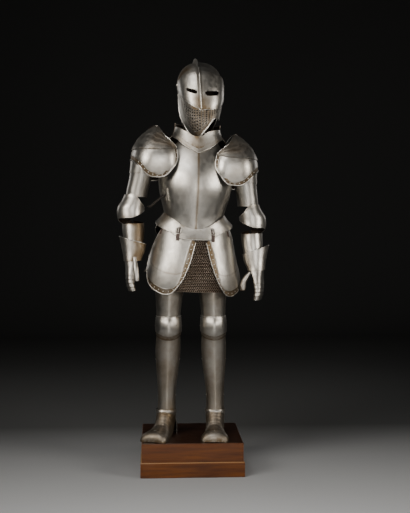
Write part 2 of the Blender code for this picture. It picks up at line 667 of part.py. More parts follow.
def build_shoulder_strap(side_name, side, trunk):
    """The strap that hangs a pauldron from the gorget, drawn over both."""
    lift = STEEL + 0.0006 + LEATHER / 2
    arm_place = Vector((ARM_SHIFT, 0, ARM_DROP[side_name]))
    path = []
    for form, station, layer, place in (
        (COLLAR, 1.575, 0, Vector()),
        (COLLAR, 1.562, 0, Vector()),
        (SHOULDER, 1.594, 2 * LAYER + 0.0020, arm_place),
        (SHOULDER, 1.578, 2 * LAYER + 0.0020, arm_place),
    ):
        spot = form.point(station, math.pi / 2) + form.outward(station, math.pi / 2) * (layer + lift)
        spot.x *= side
        path.append(spot + place)
    path[2].x -= side * 0.006
    path[2].z += 0.003
    swept_bar(f"shoulder_strap_{side_name}", path, 0.024, LEATHER, "leather", trunk)


def turned(pivot, angle, axis):
    """A turn about an axis through a point."""
    return Matrix.Translation(pivot) @ Matrix.Rotation(angle, 4, axis) @ Matrix.Translation(-pivot)


def mirrored(point, side):
    return Vector((point.x * side, point.y, point.z))


def build():
    clear_scene()
    waist = Vector((0, 0, WAIST_HEIGHT))
    stance = Matrix.Translation((WAIST_SHIFT, 0, 0)) @ turned(waist, LEAN, "Y") @ Matrix.Rotation(TRUNK_YAW, 4, "Z")
    trunk = holder("trunk", stance)
    head = holder("head", Matrix.Translation((0, 0, PIVOT_HEIGHT)) @ Matrix.Rotation(HEAD_YAW, 4, "Z") @ Matrix.Rotation(HEAD_ROLL, 4, "Y"), trunk)
    build_plinth()
    build_head(head)
    build_trunk(trunk)
    build_skirts(trunk)
    build_lance_rest(trunk)
    for side_name, side in SIDES.items():
        swing = -FOREARM_SWING[side_name]
        pivot = mirrored(ELBOW, side)
        upper = holder(f"arm_{side_name}", Matrix.Translation((ARM_SHIFT, 0, ARM_DROP[side_name])), trunk)
        elbow = holder(f"elbow_{side_name}", turned(pivot, swing / 2, "Y"), upper)
        lower = holder(f"forearm_{side_name}", turned(pivot, swing, "Y"), upper)
        hand = holder(f"hand_{side_name}", turned(mirrored(WRIST, side), HAND_YAW[side_name], "Z"), lower)
        leg = holder(f"leg_{side_name}", Matrix.Identity(4))
        foot = holder(f"foot_{side_name}", Matrix.Translation((side * ANKLE.x, 0, SOLE_GAP)) @ turned(Vector((0, ANKLE.y, 0)), FOOT_YAW[side_name], "Z"))
        build_arm(side_name, side, upper, elbow, lower, hand)
        build_leg(side_name, side, leg, foot)
        build_shoulder_strap(side_name, side, trunk)


build()
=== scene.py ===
# %% [markdown]
# # A suit of plate armour on its plinth
# The suit is a set of hammered steel plates, each one curved in two directions and only a
# millimetre and a half thick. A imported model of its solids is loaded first: it says where every
# plate is and which of them turn together. This script then dresses those solids: each plate is
# drawn again with many more faces, with its turned rim, rivets, straps and the colours of old
# steel. Every piece sits exactly where its solid sits.

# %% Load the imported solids
import json
import math

import bpy
import numpy as np
from mathutils import Matrix, Vector


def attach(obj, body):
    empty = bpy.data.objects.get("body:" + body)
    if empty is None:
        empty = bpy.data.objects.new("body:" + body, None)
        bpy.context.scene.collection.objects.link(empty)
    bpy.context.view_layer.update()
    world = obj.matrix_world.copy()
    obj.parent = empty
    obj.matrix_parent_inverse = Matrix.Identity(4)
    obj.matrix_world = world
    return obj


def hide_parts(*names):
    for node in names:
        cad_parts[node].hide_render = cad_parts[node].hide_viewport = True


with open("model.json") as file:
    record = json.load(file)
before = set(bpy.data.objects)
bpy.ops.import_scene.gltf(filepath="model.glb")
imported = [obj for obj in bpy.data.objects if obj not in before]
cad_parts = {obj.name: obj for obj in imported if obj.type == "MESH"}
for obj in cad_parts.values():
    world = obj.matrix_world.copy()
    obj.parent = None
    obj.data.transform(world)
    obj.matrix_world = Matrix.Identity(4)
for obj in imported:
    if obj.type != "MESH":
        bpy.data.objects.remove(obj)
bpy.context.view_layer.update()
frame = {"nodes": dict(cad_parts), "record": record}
bodies = frame["record"]["behaviour"]["bodies"]
carried_by = {node: body for body, nodes in bodies.items() for node in nodes}

# %% [markdown]
# ## The camera
# The photograph was taken with a longish lens from chest height, a little to the wearer's right
# of the middle. The four corners of the plinth's top gave the distance and the lens; a camera in
# Blender looks along its own -Z, so to_track_quat turns that axis onto the line of sight.

# %% Camera
EYE = Vector((-0.179, -4.555, 1.162))
YAW, PITCH = math.radians(3.1), math.radians(2.0)
SENSOR_MM, LENS_MM = 36, 67.2
ahead = math.cos(PITCH)
line_of_sight = Vector((math.sin(YAW) * ahead, math.cos(YAW) * ahead, -math.sin(PITCH)))
camera = bpy.data.objects.new("camera", bpy.data.cameras.new("camera"))
camera.data.sensor_width = SENSOR_MM
camera.data.lens = LENS_MM
camera.location = EYE
camera.rotation_euler = line_of_sight.to_track_quat("-Z", "Y").to_euler()
bpy.context.scene.collection.objects.link(camera)
bpy.context.scene.camera = camera
print("camera", round((EYE - Vector((0, 0, 1))).length, 2), "m from the suit")

# %% [markdown]
# ## Finishes made of nodes
# A finish could be a painted picture, but a picture slides and stretches on a curved plate.
# Noise that reads the piece's own position does neither, so every finish here is built from
# shader nodes. These few helpers add a node and join it in one line.

# %% A short way to add and join shader nodes
def shader_of(name):
    """A new material; returns it, its node tree and its main shader."""
    material = bpy.data.materials.new(name)
    material.use_nodes = True
    return material, material.node_tree, material.node_tree.nodes["Principled BSDF"]


def add(tree, kind, inputs=None, **settings):
    """One node. inputs gives values, or sockets to join, by the input's name or number."""
    made = tree.nodes.new(kind)
    for key, value in settings.items():
        setattr(made, key, value)
    for key, value in (inputs or {}).items():
        if isinstance(value, bpy.types.NodeSocket):
            tree.links.new(value, made.inputs[key])
        else:
            made.inputs[key].default_value = value
    return made


def object_place(tree):
    return add(tree, "ShaderNodeTexCoord").outputs["Object"]


def scaled(tree, place, scale):
    return add(tree, "ShaderNodeMapping", {"Vector": place, "Scale": scale}).outputs["Vector"]


def cloud(tree, place, scale, detail=3.0, rough=0.55):
    """Soft noise from 0 to 1."""
    wanted = {"Vector": place, "Scale": scale, "Detail": detail, "Roughness": rough}
    return add(tree, "ShaderNodeTexNoise", wanted).outputs["Fac"]


def between(tree, value, low, high, out_low=0.0, out_high=1.0):
    """Stretches a value so that low becomes out_low and high becomes out_high."""
    wanted = {"Value": value, "From Min": low, "From Max": high}
    wanted.update({"To Min": out_low, "To Max": out_high})
    return add(tree, "ShaderNodeMapRange", wanted).outputs["Result"]


def sum_of(tree, first, second, how="ADD"):
    made = add(tree, "ShaderNodeMath", {0: first, 1: second}, operation=how, use_clamp=True)
    return made.outputs["Value"]


def product(tree, first, second):
    return sum_of(tree, first, second, "MULTIPLY")


def blended(tree, share, first, second):
    """A colour between two, by share."""
    made = add(tree, "ShaderNodeMix", {"Factor": share}, data_type="RGBA")
    for number, colour in ((6, first), (7, second)):
        if isinstance(colour, bpy.types.NodeSocket):
            tree.links.new(colour, made.inputs[number])
        else:
            made.inputs[number].default_value = (*colour, 1)
    return made.outputs[2]


def bumped(tree, strength, distance, height, below=None):
    """Fine relief that only bends the light; below is a coarser relief under it."""
    wanted = {"Strength": strength, "Distance": distance, "Height": height}
    if below is not None:
        wanted["Normal"] = below
    return add(tree, "ShaderNodeBump", wanted).outputs["Normal"]


print("node helpers are ready")

# %% [markdown]
# ## Old steel
# Old steel is never one grey. It has cloudy brown patina, grime along rims and under straps, soft
# hammer marks and fine polishing scratches. Two numbers are stored on each point of a plate:
# "edge" is 1 at its border and fades inwards, "age" says how brown it is, from patina and, in
# strips along some borders, from painted shade. One function makes the plain, the bright, the
# browned and the blackened steel, and the near-black inner skin that is painted shade, because
# only colours differ.

# %% Steel
DULL_SHARE = 0.55


def old_steel(name, bright=(0.59, 0.56, 0.505), brown=(0.145, 0.104, 0.062), rough=0.33):
    material, tree, shader = shader_of(name)
    place = object_place(tree)
    edge = add(tree, "ShaderNodeAttribute", attribute_name="edge").outputs["Fac"]
    age = add(tree, "ShaderNodeAttribute", attribute_name="age").outputs["Fac"]
    clouds = between(tree, cloud(tree, place, 7, 5, 0.6), 0.40, 0.75)
    specks = between(tree, cloud(tree, place, 190, 3, 0.6), 0.60, 0.80)
    rim_dirt = product(tree, edge, between(tree, cloud(tree, place, 40), 0.40, 0.66))
    worn = sum_of(tree, product(tree, clouds, 0.55), age)
    worn = sum_of(tree, worn, product(tree, rim_dirt, 0.7))
    worn = sum_of(tree, worn, product(tree, specks, 0.10))
    dull = between(tree, cloud(tree, place, 9, 5, 0.7), 0.36, 0.66, 0.0, 0.48)
    polished = blended(tree, dull, bright, tuple(DULL_SHARE * part for part in bright))
    tree.links.new(blended(tree, worn, polished, brown), shader.inputs["Base Color"])
    shader.inputs["Metallic"].default_value = 1.0
    patches = between(tree, cloud(tree, place, 55, 4), 0.3, 0.7, rough - 0.05, rough + 0.07)
    roughness = sum_of(tree, patches, product(tree, worn, 0.18))
    tree.links.new(roughness, shader.inputs["Roughness"])
    hammer = bumped(tree, 0.05, 0.004, cloud(tree, place, 22, 2, 0.4))
    stretched = scaled(tree, place, (900, 900, 70))
    scratches = bumped(tree, 0.06, 0.0005, cloud(tree, stretched, 1, 2), hammer)
    tree.links.new(scratches, shader.inputs["Normal"])
    return material


steel = old_steel("steel")
rim_steel = old_steel("rim_steel", (0.70, 0.67, 0.61), rough=0.28)
brown_steel = old_steel("brown_steel", (0.44, 0.38, 0.31), (0.20, 0.125, 0.07), 0.36)
# The inner skin's near-black steel is painted shade, for the inside of a plate that lies in shade.
painted_shade_inner_steel = old_steel("painted_shade_inner_steel", (0.060, 0.048, 0.038), (0.04, 0.025, 0.015), 0.55)
dark_iron = old_steel("dark_iron", (0.09, 0.08, 0.07), (0.05, 0.035, 0.025), 0.42)
mail_wire = old_steel("mail_wire", (0.46, 0.38, 0.29), (0.15, 0.075, 0.035), 0.32)
print("steel has", len(steel.node_tree.nodes), "nodes")

# %% [markdown]
# ## The mail's dark backing
# Behind mail one sees only dark, where more rings lie in shadow. A picture of rings would do, but
# two crossed cosines on the skirt's unrolled map give the same row and column pattern for free.

# %% Mail backing
mail, tree, shader = shader_of("mail")
chart = add(tree, "ShaderNodeUVMap", uv_map="unrolled_metres").outputs["UV"]
place = object_place(tree)
split = add(tree, "ShaderNodeSeparateXYZ", {"Vector": chart})
RING = 0.0092


def wave(value, pitch):
    """A cosine from 0 to 1 with this pitch in metres."""
    turn = add(tree, "ShaderNodeMath", {0: value, 1: math.tau / pitch}, operation="MULTIPLY")
    cosine = add(tree, "ShaderNodeMath", {0: turn.outputs["Value"]}, operation="COSINE")
    return between(tree, cosine.outputs["Value"], -1, 1)


woven = product(tree, wave(split.outputs["Y"], RING), wave(split.outputs["X"], RING))
stain = product(tree, between(tree, cloud(tree, place, 14, 4), 0.35, 0.7), 0.5)
clean = sum_of(tree, woven, stain, "SUBTRACT")
# The backing's dark colour is painted shade: it stands for deeper rings that lie in shadow.
backing = blended(tree, clean, (0.030, 0.017, 0.011), (0.07, 0.040, 0.026))
tree.links.new(backing, shader.inputs["Base Color"])
shader.inputs["Metallic"].default_value = 0.8
shader.inputs["Roughness"].default_value = 0.5
tree.links.new(bumped(tree, 1.0, 0.003, woven), shader.inputs["Normal"])
print("mail backing has", len(tree.nodes), "nodes")

# %% [markdown]
# ## Leather
# The straps are old brown leather. Coarse noise gives its worn patches and very fine noise its
# grain; the grain is only a bump, because it is far thinner than a strap's own edge.

# %% Leather
leather, tree, shader = shader_of("leather")
place = object_place(tree)
tanned = blended(tree, cloud(tree, place, 40, 4), (0.020, 0.011, 0.008), (0.075, 0.038, 0.022))
tree.links.new(tanned, shader.inputs["Base Color"])
shader.inputs["Roughness"].default_value = 0.62
tree.links.new(bumped(tree, 0.4, 0.001, cloud(tree, place, 600, 3)), shader.inputs["Normal"])
print("leather is made")

# %% [markdown]
# ## Stained wood
# The plinth is a stained board box. Noise stretched along x reads as grain. The top is darker
# than the sides, as it turns away from the lamps, and the step's narrow upper face is lighter:
# the direction a face looks and its height tell the two apart.

# %% Wood
STEP_TOP = (0.075, 0.085)
wood, tree, shader = shader_of("wood")
place = object_place(tree)
lines = cloud(tree, scaled(tree, place, (1.6, 14, 22)), 2.2, 6, 0.65)
pores = cloud(tree, scaled(tree, place, (12, 220, 260)), 1, 2)
stained = between(tree, lines, 0.35, 0.66)
tone = blended(tree, stained, (0.068, 0.0165, 0.0012), (0.165, 0.047, 0.0030))
normal = add(tree, "ShaderNodeNewGeometry").outputs["Normal"]
facing_up = add(tree, "ShaderNodeSeparateXYZ", {"Vector": normal}).outputs["Z"]
height = add(tree, "ShaderNodeSeparateXYZ", {"Vector": place}).outputs["Z"]
on_top = between(tree, height, *STEP_TOP)
# Painted shade and painted highlight: the plinth's top is coloured dark, as it turns from the lamps,
# and the step's narrow upper face light.
top_shade_step_highlight = blended(tree, on_top, (0.42, 0.24, 0.10), (0.022, 0.0085, 0.004))
painted = blended(tree, between(tree, facing_up, 0.5, 0.9), tone, top_shade_step_highlight)
tree.links.new(painted, shader.inputs["Base Color"])
gloss = between(tree, cloud(tree, place, 18, 3), 0.3, 0.7, 0.30, 0.46)
tree.links.new(gloss, shader.inputs["Roughness"])
grain = bumped(tree, 0.25, 0.0008, sum_of(tree, lines, pores))
tree.links.new(grain, shader.inputs["Normal"])
print("wood has", len(tree.nodes), "nodes")

# %% [markdown]
# ## Smooth forms from short tables
# A plate is a patch of a smooth form such as a trunk or a forearm. It could be sculpted, but then
# two plates that lie on each other would never fit. A form is a table instead: each row is an
# oval ring at one height, with its half width and depths, and a curve runs through the rows.
# Numpy works out all points of a patch at once, which is much faster than one by one.

# %% Forms
def powered(value, power):
    return np.sign(value) * np.abs(value) ** power


def curve_parts(u):
    """How much of each end's value and slope a cubic takes at u, from 0 to 1."""
    from_value, to_value = 2 * u**3 - 3 * u**2 + 1, 3 * u**2 - 2 * u**3
    return from_value, to_value, u**3 - 2 * u**2 + u, u**3 - u**2


class Form:
    """A smooth closed form. Columns: station, x y z (ring centre), pitch (tilt, degrees), half
    and reach (outer and inner half width), front, back, square and inner (2 is an ellipse), keel."""

    KEEL_WIDTH = math.radians(26)

    def __init__(self, columns, rows, **same):
        self.names = columns.split()
        self.table = np.array(rows, float)
        self.table = self.table[np.argsort(self.table[:, 0])]
        self.slopes = np.gradient(self.table, self.table[:, 0], axis=0)
        self.same = same

    def sizes(self, station):
        """Every column at these stations, on a smooth curve through the rows."""
        stations = self.table[:, 0]
        i = np.clip(np.searchsorted(stations, station) - 1, 0, len(stations) - 2)
        step = stations[i + 1] - stations[i]
        u = (station - stations[i]) / step
        t, step = np.clip(u, 0, 1)[..., None], step[..., None]
        before, after = np.minimum(u, 0)[..., None], np.maximum(u - 1, 0)[..., None]
        from_value, to_value, from_slope, to_slope = curve_parts(t)
        row = self.table[i] * from_value + self.table[i + 1] * to_value
        row += self.slopes[i] * step * from_slope + self.slopes[i + 1] * step * to_slope
        row += self.slopes[i] * step * before + self.slopes[i + 1] * step * after
        return {**self.same, **{name: row[..., k] for k, name in enumerate(self.names)}}

    def middles(self, station):
        found = self.sizes(station)
        centre = (found.get("x", 0), found.get("y", 0), found.get("z", station))
        return np.stack([value + 0 * station for value in centre], -1)

    def points(self, station, angle):
        found = self.sizes(station)
        pitch = np.radians(found.get("pitch", 0))
        inward, half, square = np.sin(angle) < 0, found["half"], found.get("square", 2)
        half = np.where(inward, found.get("reach", half), half)
        square = np.where(inward, found.get("inner", square), square)
        depth = np.where(np.cos(angle) > 0, found["front"], found["back"])
        across = half * powered(np.sin(angle), 2 / square)
        along = depth * powered(np.cos(angle), 2 / square)
        turn = np.abs((angle + math.pi) % math.tau - math.pi)
        along = along + found.get("keel", 0) * np.maximum(0, 1 - turn / self.KEEL_WIDTH) ** 1.5
        away = np.stack([across, -np.cos(pitch) * along, np.sin(pitch) * along], -1)
        return self.middles(station) + away

    def outward(self, station, angle, nudge=1e-4):
        """Unit normals, from short steps over the surface."""
        around = self.points(station, angle + nudge) - self.points(station, angle - nudge)
        up = self.points(station + nudge, angle) - self.points(station - nudge, angle)
        normal = np.cross(around, up)
        normal /= np.linalg.norm(normal, axis=-1, keepdims=True) + 1e-15
        away = self.points(station, angle) - self.middles(station)
        return normal * np.sign((normal * away).sum(-1, keepdims=True) + 1e-12)


print("a form has points, middles and outward directions")

# %% [markdown]
# ## Edges
# A plate's border is seldom straight: a neckline dips and a wing hangs down in a lobe. An edge is
# given as a few (share, value) pairs, where share runs from 0 to 1 along the border, and a curve
# or straight stretches join them.

# %% Edges
MIDDLE = 0.5


def through(*pairs):
    """A smooth edge through (share, value) pairs."""
    shares, values = np.array(pairs, float).T
    slopes = np.gradient(values, shares)

    def edge(share):
        i = np.clip(np.searchsorted(shares, share) - 1, 0, len(shares) - 2)
        step = shares[i + 1] - shares[i]
        from_value, to_value, from_slope, to_slope = curve_parts((share - shares[i]) / step)
        return (values[i] * from_value + values[i + 1] * to_value
                + slopes[i] * step * from_slope + slopes[i + 1] * step * to_slope)

    return edge


def straight(*pairs):
    """An edge of straight stretches through (share, value) pairs."""
    shares, values = np.array(pairs, float).T
    return lambda share: np.interp(share, shares, values)


def arch(*values, kind=through):
    """An edge that is the same on both sides; values run in even steps from end to middle."""
    return kind(*zip(np.linspace(0, 1, 2 * len(values) - 1), values + values[-2::-1]))


def smooth(value, low, high):
    """0 up to low, 1 from high on, and a soft step between them."""
    part = np.clip((value - low) / (high - low), 0, 1)
    return part**2 * (3 - 2 * part)


print("an arch from 1 down to 0 passes", round(float(arch(1, 0.5, 0)(0.25)), 2))

# %% [markdown]
# ## How the suit stands
# It leans a little to the wearer's left and the head is turned and tipped. Each group of plates is
# drawn standing straight, then a matrix puts it in its place, as an empty would for its children.

# %% Stance
STEEL, LEATHER, SEAM = 0.0015, 0.0025, 0.0010
LAYER = STEEL + SEAM
LEAN, TRUNK_YAW, HEAD_YAW, HEAD_ROLL = (math.radians(angle) for angle in (2.5, 2.5, 5.0, -3.5))
WAIST_HEIGHT, WAIST_SHIFT, PIVOT_HEIGHT, ARM_SHIFT = 1.100, 0.010, 1.816, -0.009
ARM_DROP = {"left": -0.011, "right": 0.011}
FOREARM_SWING = {"left": math.radians(4.5), "right": math.radians(4.5)}
HAND_YAW = {"left": math.radians(-18.0), "right": 0.0}
FOOT_YAW = {"left": math.radians(-4.0), "right": math.radians(-20.0)}
PLINTH_HEIGHT, SOLE_GAP = 0.157, 0.0003
ANKLE = Vector((0.1155, -0.006, PLINTH_HEIGHT))
ELBOW, WRIST = Vector((0.290, 0.004, 1.205)), Vector((0.290, -0.060, 0.968))
SIDES = {"left": 1, "right": -1}


def shift(*by):
    return Matrix.Translation(by)


def spin(angle, axis):
    return Matrix.Rotation(angle, 4, axis)


def turned(pivot, angle, axis):
    """A turn about an axis through a point."""
    return shift(*pivot) @ spin(angle, axis) @ shift(*-pivot)


def mirrored(point, side):
    return Vector((point.x * side, point.y, point.z))


def carried(points, place):
    """Points taken from where they are drawn to where the matrix puts them."""
    return points @ np.array(place.to_3x3()).T + np.array(place.translation)


waist = Vector((0, 0, WAIST_HEIGHT))
trunk = shift(WAIST_SHIFT, 0, 0) @ turned(waist, LEAN, "Y") @ spin(TRUNK_YAW, "Z")
head = trunk @ shift(0, 0, PIVOT_HEIGHT) @ spin(HEAD_YAW, "Z") @ spin(HEAD_ROLL, "Y")
upper, elbow, lower, hand, foot = {}, {}, {}, {}, {}
for name, side in SIDES.items():
    pivot, swing = mirrored(ELBOW, side), -FOREARM_SWING[name]
    upper[name] = trunk @ shift(ARM_SHIFT, 0, ARM_DROP[name])
    elbow[name] = upper[name] @ turned(pivot, swing / 2, "Y")
    lower[name] = upper[name] @ turned(pivot, swing, "Y")
    hand[name] = lower[name] @ turned(mirrored(WRIST, side), HAND_YAW[name], "Z")
    heel_line = Vector((0, ANKLE.y, 0))
    foot[name] = shift(side * ANKLE.x, 0, SOLE_GAP) @ turned(heel_line, FOOT_YAW[name], "Z")
print("the comb stands near", [round(v, 3) for v in head @ Vector((0, 0, 0.12))])

# %% [markdown]
# ## Pieces and the bodies they ride on
# Every mesh made here is told which body carries it, so that it moves with that body's hinge, and
# which solid it stands for, so that the plain solid is hidden and not drawn twice.

# %% Pieces
def piece(name, points, faces, finish, body, stands_for=()):
    """A mesh that rides on a body. stands_for names the solids that it replaces."""
    data = bpy.data.meshes.new(name)
    data.from_pydata([tuple(p) for p in points], [], [tuple(f) for f in faces])
    data.materials.append(finish)
    data.shade_smooth()
    thing = bpy.data.objects.new(name, data)
    bpy.context.scene.collection.objects.link(thing)
    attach(thing, body)
    if stands_for:
        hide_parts(*stands_for)
    return thing


print("pieces can be drawn")

# %% [markdown]
# ## The sheet a plate is cut from
# Rims, rivets and straps have to follow a plate's border exactly. So each plate keeps its grid of
# points and normals, and can tell where its edge lines run and how far a point is from them.

# %% Sheets
class Sheet:
    """The outer face of a plate as a grid of points and normals; rows run up, columns around."""

    def __init__(self, points, normals, body, name, shares, levels):
        self.points, self.normals, self.body, self.name = points, normals, body, name
        self.shares, self.levels = np.array(shares), np.array(levels)
        steps_around = np.linalg.norm(np.diff(points, axis=1), axis=2)
        steps_up = np.linalg.norm(np.diff(points, axis=0), axis=2)
        self.around = np.concatenate([np.zeros((len(points), 1)), np.cumsum(steps_around, 1)], 1)
        self.up = np.concatenate([np.zeros((1, points.shape[1])), np.cumsum(steps_up, 0)], 0)

    def distance(self, edges):
        """How far each point is from the nearest of the named edges, in metres."""
        found = {"start": self.around, "end": self.around[:, -1:] - self.around,
                 "low": self.up, "high": self.up[-1:] - self.up}
        return np.min([found[edge] for edge in edges], axis=0)

    def at(self, share, level):
        """The point and normal at a share and level of the plate."""
        i = np.interp(level, self.levels, range(len(self.levels)))
        j = np.interp(share, self.shares, range(len(self.shares)))
        i0, j0 = min(int(i), len(self.levels) - 2), min(int(j), len(self.shares) - 2)
        a, b = i - i0, j - j0

        def mix(grid):
            near = grid[i0, j0] * (1 - a) + grid[i0 + 1, j0] * a
            far = grid[i0, j0 + 1] * (1 - a) + grid[i0 + 1, j0 + 1] * a
            return near * (1 - b) + far * b

        return mix(self.points), mix(self.normals)

    def edge_line(self, edge, inset=0.0):
        """Points and normals along an edge, moved into the plate by inset metres."""
        if edge in ("low", "high"):
            grids = (self.points, self.normals, self.up)
            points, normals, run = (np.swapaxes(grid, 0, 1) for grid in grids)
        else:
            points, normals, run = self.points, self.normals, self.around
        lines = []
        for line, over, far in zip(points, normals, run):
            away = far if edge in ("low", "start") else far[-1] - far
            order = np.argsort(away)
            lines.append([np.stack([np.interp(inset, away[order], grid[order, k]) for k in range(3)])
                          for grid in (line, over)])
        points, normals = np.array(lines).swapaxes(0, 1)
        if edge in ("high", "start"):
            points, normals = points[::-1], normals[::-1]
        return points, normals

    def nearest(self, line, edges):
        """How far each point of a line is from the plate's edges."""
        border = np.concatenate([self.edge_line(edge)[0] for edge in edges])
        return np.array([np.linalg.norm(border - point, axis=1).min() for point in line])


print("edges of a sheet: start, end, low and high")

# %% [markdown]
# ## Faces and holes
# The breaths of the bevor are punched holes. A Boolean cut of a hundred cylinders is slow and
# leaves thin slivers. Here each chosen four-sided face is drawn anew as a ring of faces round a
# hole, and the thickness is added afterwards.

# %% Faces of a grid, and holes in them
HOLE_SHARE, HOLE_SIDES = 0.32, 8


def grid_faces(columns, keep):
    faces = []
    for i, j in zip(*np.nonzero(keep)):
        a = int(i) * (columns + 1) + int(j)
        faces.append((a, a + 1, a + columns + 2, a + columns + 1))
    return faces


def with_holes(points, faces, chosen):
    """Puts a round hole into each chosen four-sided face."""
    points, made = [np.array(p) for p in points], []
    for face, holed in zip(faces, chosen):
        if not holed:
            made.append(face)
            continue
        a, b, c, d = (points[v] for v in face)
        first = len(points)
        for k in range(HOLE_SIDES):
            turn = math.tau * k / HOLE_SIDES - math.tau * 3 / 8
            u, v = 0.5 + HOLE_SHARE * math.cos(turn), 0.5 + HOLE_SHARE * math.sin(turn)
            points.append((a * (1 - u) + b * u) * (1 - v) + (d * (1 - u) + c * u) * v)
        for k in range(4):
            ring = [first + (2 * k + step) % HOLE_SIDES for step in (0, 1, 2)]
            made.append((face[k], face[(k + 1) % 4], ring[2], ring[1], ring[0]))
    return points, made


print("a holed face becomes 4 faces round", HOLE_SIDES, "new points")

# %% [markdown]
# ## Depth and worn edges
# A smith starts from sheet of even depth. A scaled copy of the outer face would be thick in some
# places and thin in others, so a Solidify modifier gives the depth, and the inner skin gets a
# near-black steel that is painted shade. A small Bevel rounds the cut edges, so that they catch
# the light as worn metal does.

# %% Grid, stored numbers and depth
WORN_EDGE, RIM_FADE = 0.0004, 0.010


def value_at(edge, t):
    return float(edge(t) if callable(edge) else edge)


def patch(around, along, shares, levels):
    """The stations and angles of a patch's grid; along may hold more than two lines."""
    bands = np.linspace(0, 1, len(along))
    lines = np.array([[value_at(edge, share) for share in shares] for edge in along])
    stations = [[np.interp(level, bands, line) for line in lines.T] for level in levels]
    sides = [np.array([value_at(edge, level) for level in levels])[:, None] for edge in around]
    return np.array(stations), np.radians(sides[0] + (sides[1] - sides[0]) * shares[None, :])


def store(thing, sheet, values):
    """Puts numbers on a mesh's points, and the sheet laid out flat in metres as its map."""
    rest = len(thing.data.vertices) - sheet.around.size
    for label, found in values.items():
        found = np.append(found.ravel(), np.full(rest, float(np.median(found))))
        stored = thing.data.attributes.new(label, "FLOAT", "POINT")
        stored.data.foreach_set("value", found.astype(np.float32))
    unrolled = thing.data.uv_layers.new(name="unrolled_metres")
    corner = np.array([loop.vertex_index for loop in thing.data.loops])
    runs = [np.append(run.ravel(), np.zeros(rest)) for run in (sheet.around, sheet.up)]
    unrolled.data.foreach_set("uv", np.stack(runs, 1)[corner].astype(np.float32).ravel())


def thicken(thing, wall, even, finish, ease):
    """Depth for a sheet; a steel one gets an inner skin of near-black steel, painted shade."""
    thickness = thing.modifiers.new("plate thickness", "SOLIDIFY")
    thickness.thickness, thickness.offset, thickness.use_even_offset = wall, 1, even
    # A steel plate's inner skin gets the near-black steel that is painted shade.
    if finish in (None, brown_steel):
        thing.data.materials.append(painted_shade_inner_steel)
        thickness.material_offset = 1
    if ease:
        worn = thing.modifiers.new("worn edge", "BEVEL")
        worn.width, worn.segments, worn.harden_normals = ease, 2, True
        worn.limit_method, worn.angle_limit = "ANGLE", math.radians(50)


print("a plate is", STEEL * 1000, "mm thick")

# %% [markdown]
# ## Hammering a plate
# Every plate of the suit is made by the one function below, as every real one is beaten from a
# flat blank over the same few stakes. It lays a fine grid over a patch of a form, faces it
# outwards, and stores "edge" and "age" on its points for the finish. It returns the sheet, so that
# rims and rivets can follow it.

# %% Plates
def plate(node, form, around, along, cells, place, side=1, out=0.0, wall=STEEL, swell=None,
          hole=None, relief=None, age=0.0, finish=None, slot="steel", ease=WORN_EDGE,
          stands_for=None, name=None, chart=None, pierced=None, border=None):
    """One plate over a patch of a form. relief is (edges, function of the distance to them); age
    is a number or a function of share and level; chart gives stations and angles directly, for a
    patch that is no rectangle; cells where pierced is true get a round hole each; border is
    (edges, width, age) for a strip of painted shade along edges, added to age."""
    shares, levels = (np.linspace(0, 1, count + 1) if isinstance(count, int)
                      else np.array(count, float) for count in cells)
    grid = np.meshgrid(shares, levels)
    stations, angles = chart(*grid) if chart else patch(around, along, shares, levels)
    normals = form.outward(stations, angles)
    lift = out + (swell(*grid) if swell else 0 * grid[0])
    points = form.points(stations, angles) + normals * lift[..., None]
    points[..., 0] *= side
    normals = normals * np.array([side, 1, 1])
    points, normals = carried(points, place), normals @ np.array(place.to_3x3()).T
    sheet = Sheet(points, normals, carried_by[node], name or f"{node}_plate", shares, levels)
    if relief:
        points = points + normals * relief[1](sheet.distance(relief[0]))[..., None]
    centres = np.meshgrid((shares[1:] + shares[:-1]) / 2, (levels[1:] + levels[:-1]) / 2)
    keep = ~hole(*centres) if hole else np.ones_like(centres[0], bool)
    faces = grid_faces(len(shares) - 1, keep)
    flat = points.reshape(-1, 3)
    a, b, _, d = faces[len(faces) // 2]
    if np.cross(flat[b] - flat[a], flat[d] - flat[a]) @ normals.reshape(-1, 3)[a] < 0:
        faces = [face[::-1] for face in faces]
    if pierced:
        flat, faces = with_holes(flat, faces, pierced(*centres)[keep])
    stands_for = [node] if stands_for is None else stands_for
    thing = piece(sheet.name, flat, faces, finish or steel, sheet.body, stands_for)
    edge = np.exp(-sheet.distance(("start", "end", "low", "high")) / RIM_FADE)
    aged = age(*grid) if callable(age) else np.full(grid[0].shape, age)
    # A border strip is painted shade: age rises along those edges so that they darken.
    if border:
        edges, width, strip_shade = border
        aged = aged + strip_shade * np.clip((width - sheet.distance(edges)) / 0.003, 0, 1)
    store(thing, sheet, {"edge": edge, "age": aged})
    thicken(thing, wall, form is not HEAD, finish, ease)
    sheet.points = sheet.points + normals * wall
    return sheet


print("plates can be hammered")

# %% [markdown]
# ## Turned rims
# An armourer turns the border of a plate over a wire, so that it is stiff and can't cut. A curve
# object with a bevel would draw it too, but it twists at sharp corners. Here the rim is a tube
# swept along the same edge line, with its cross-section kept from twisting.

# %% Tubes along edges
RIM_STEP, BEAD_STEP = 0.004, 0.005


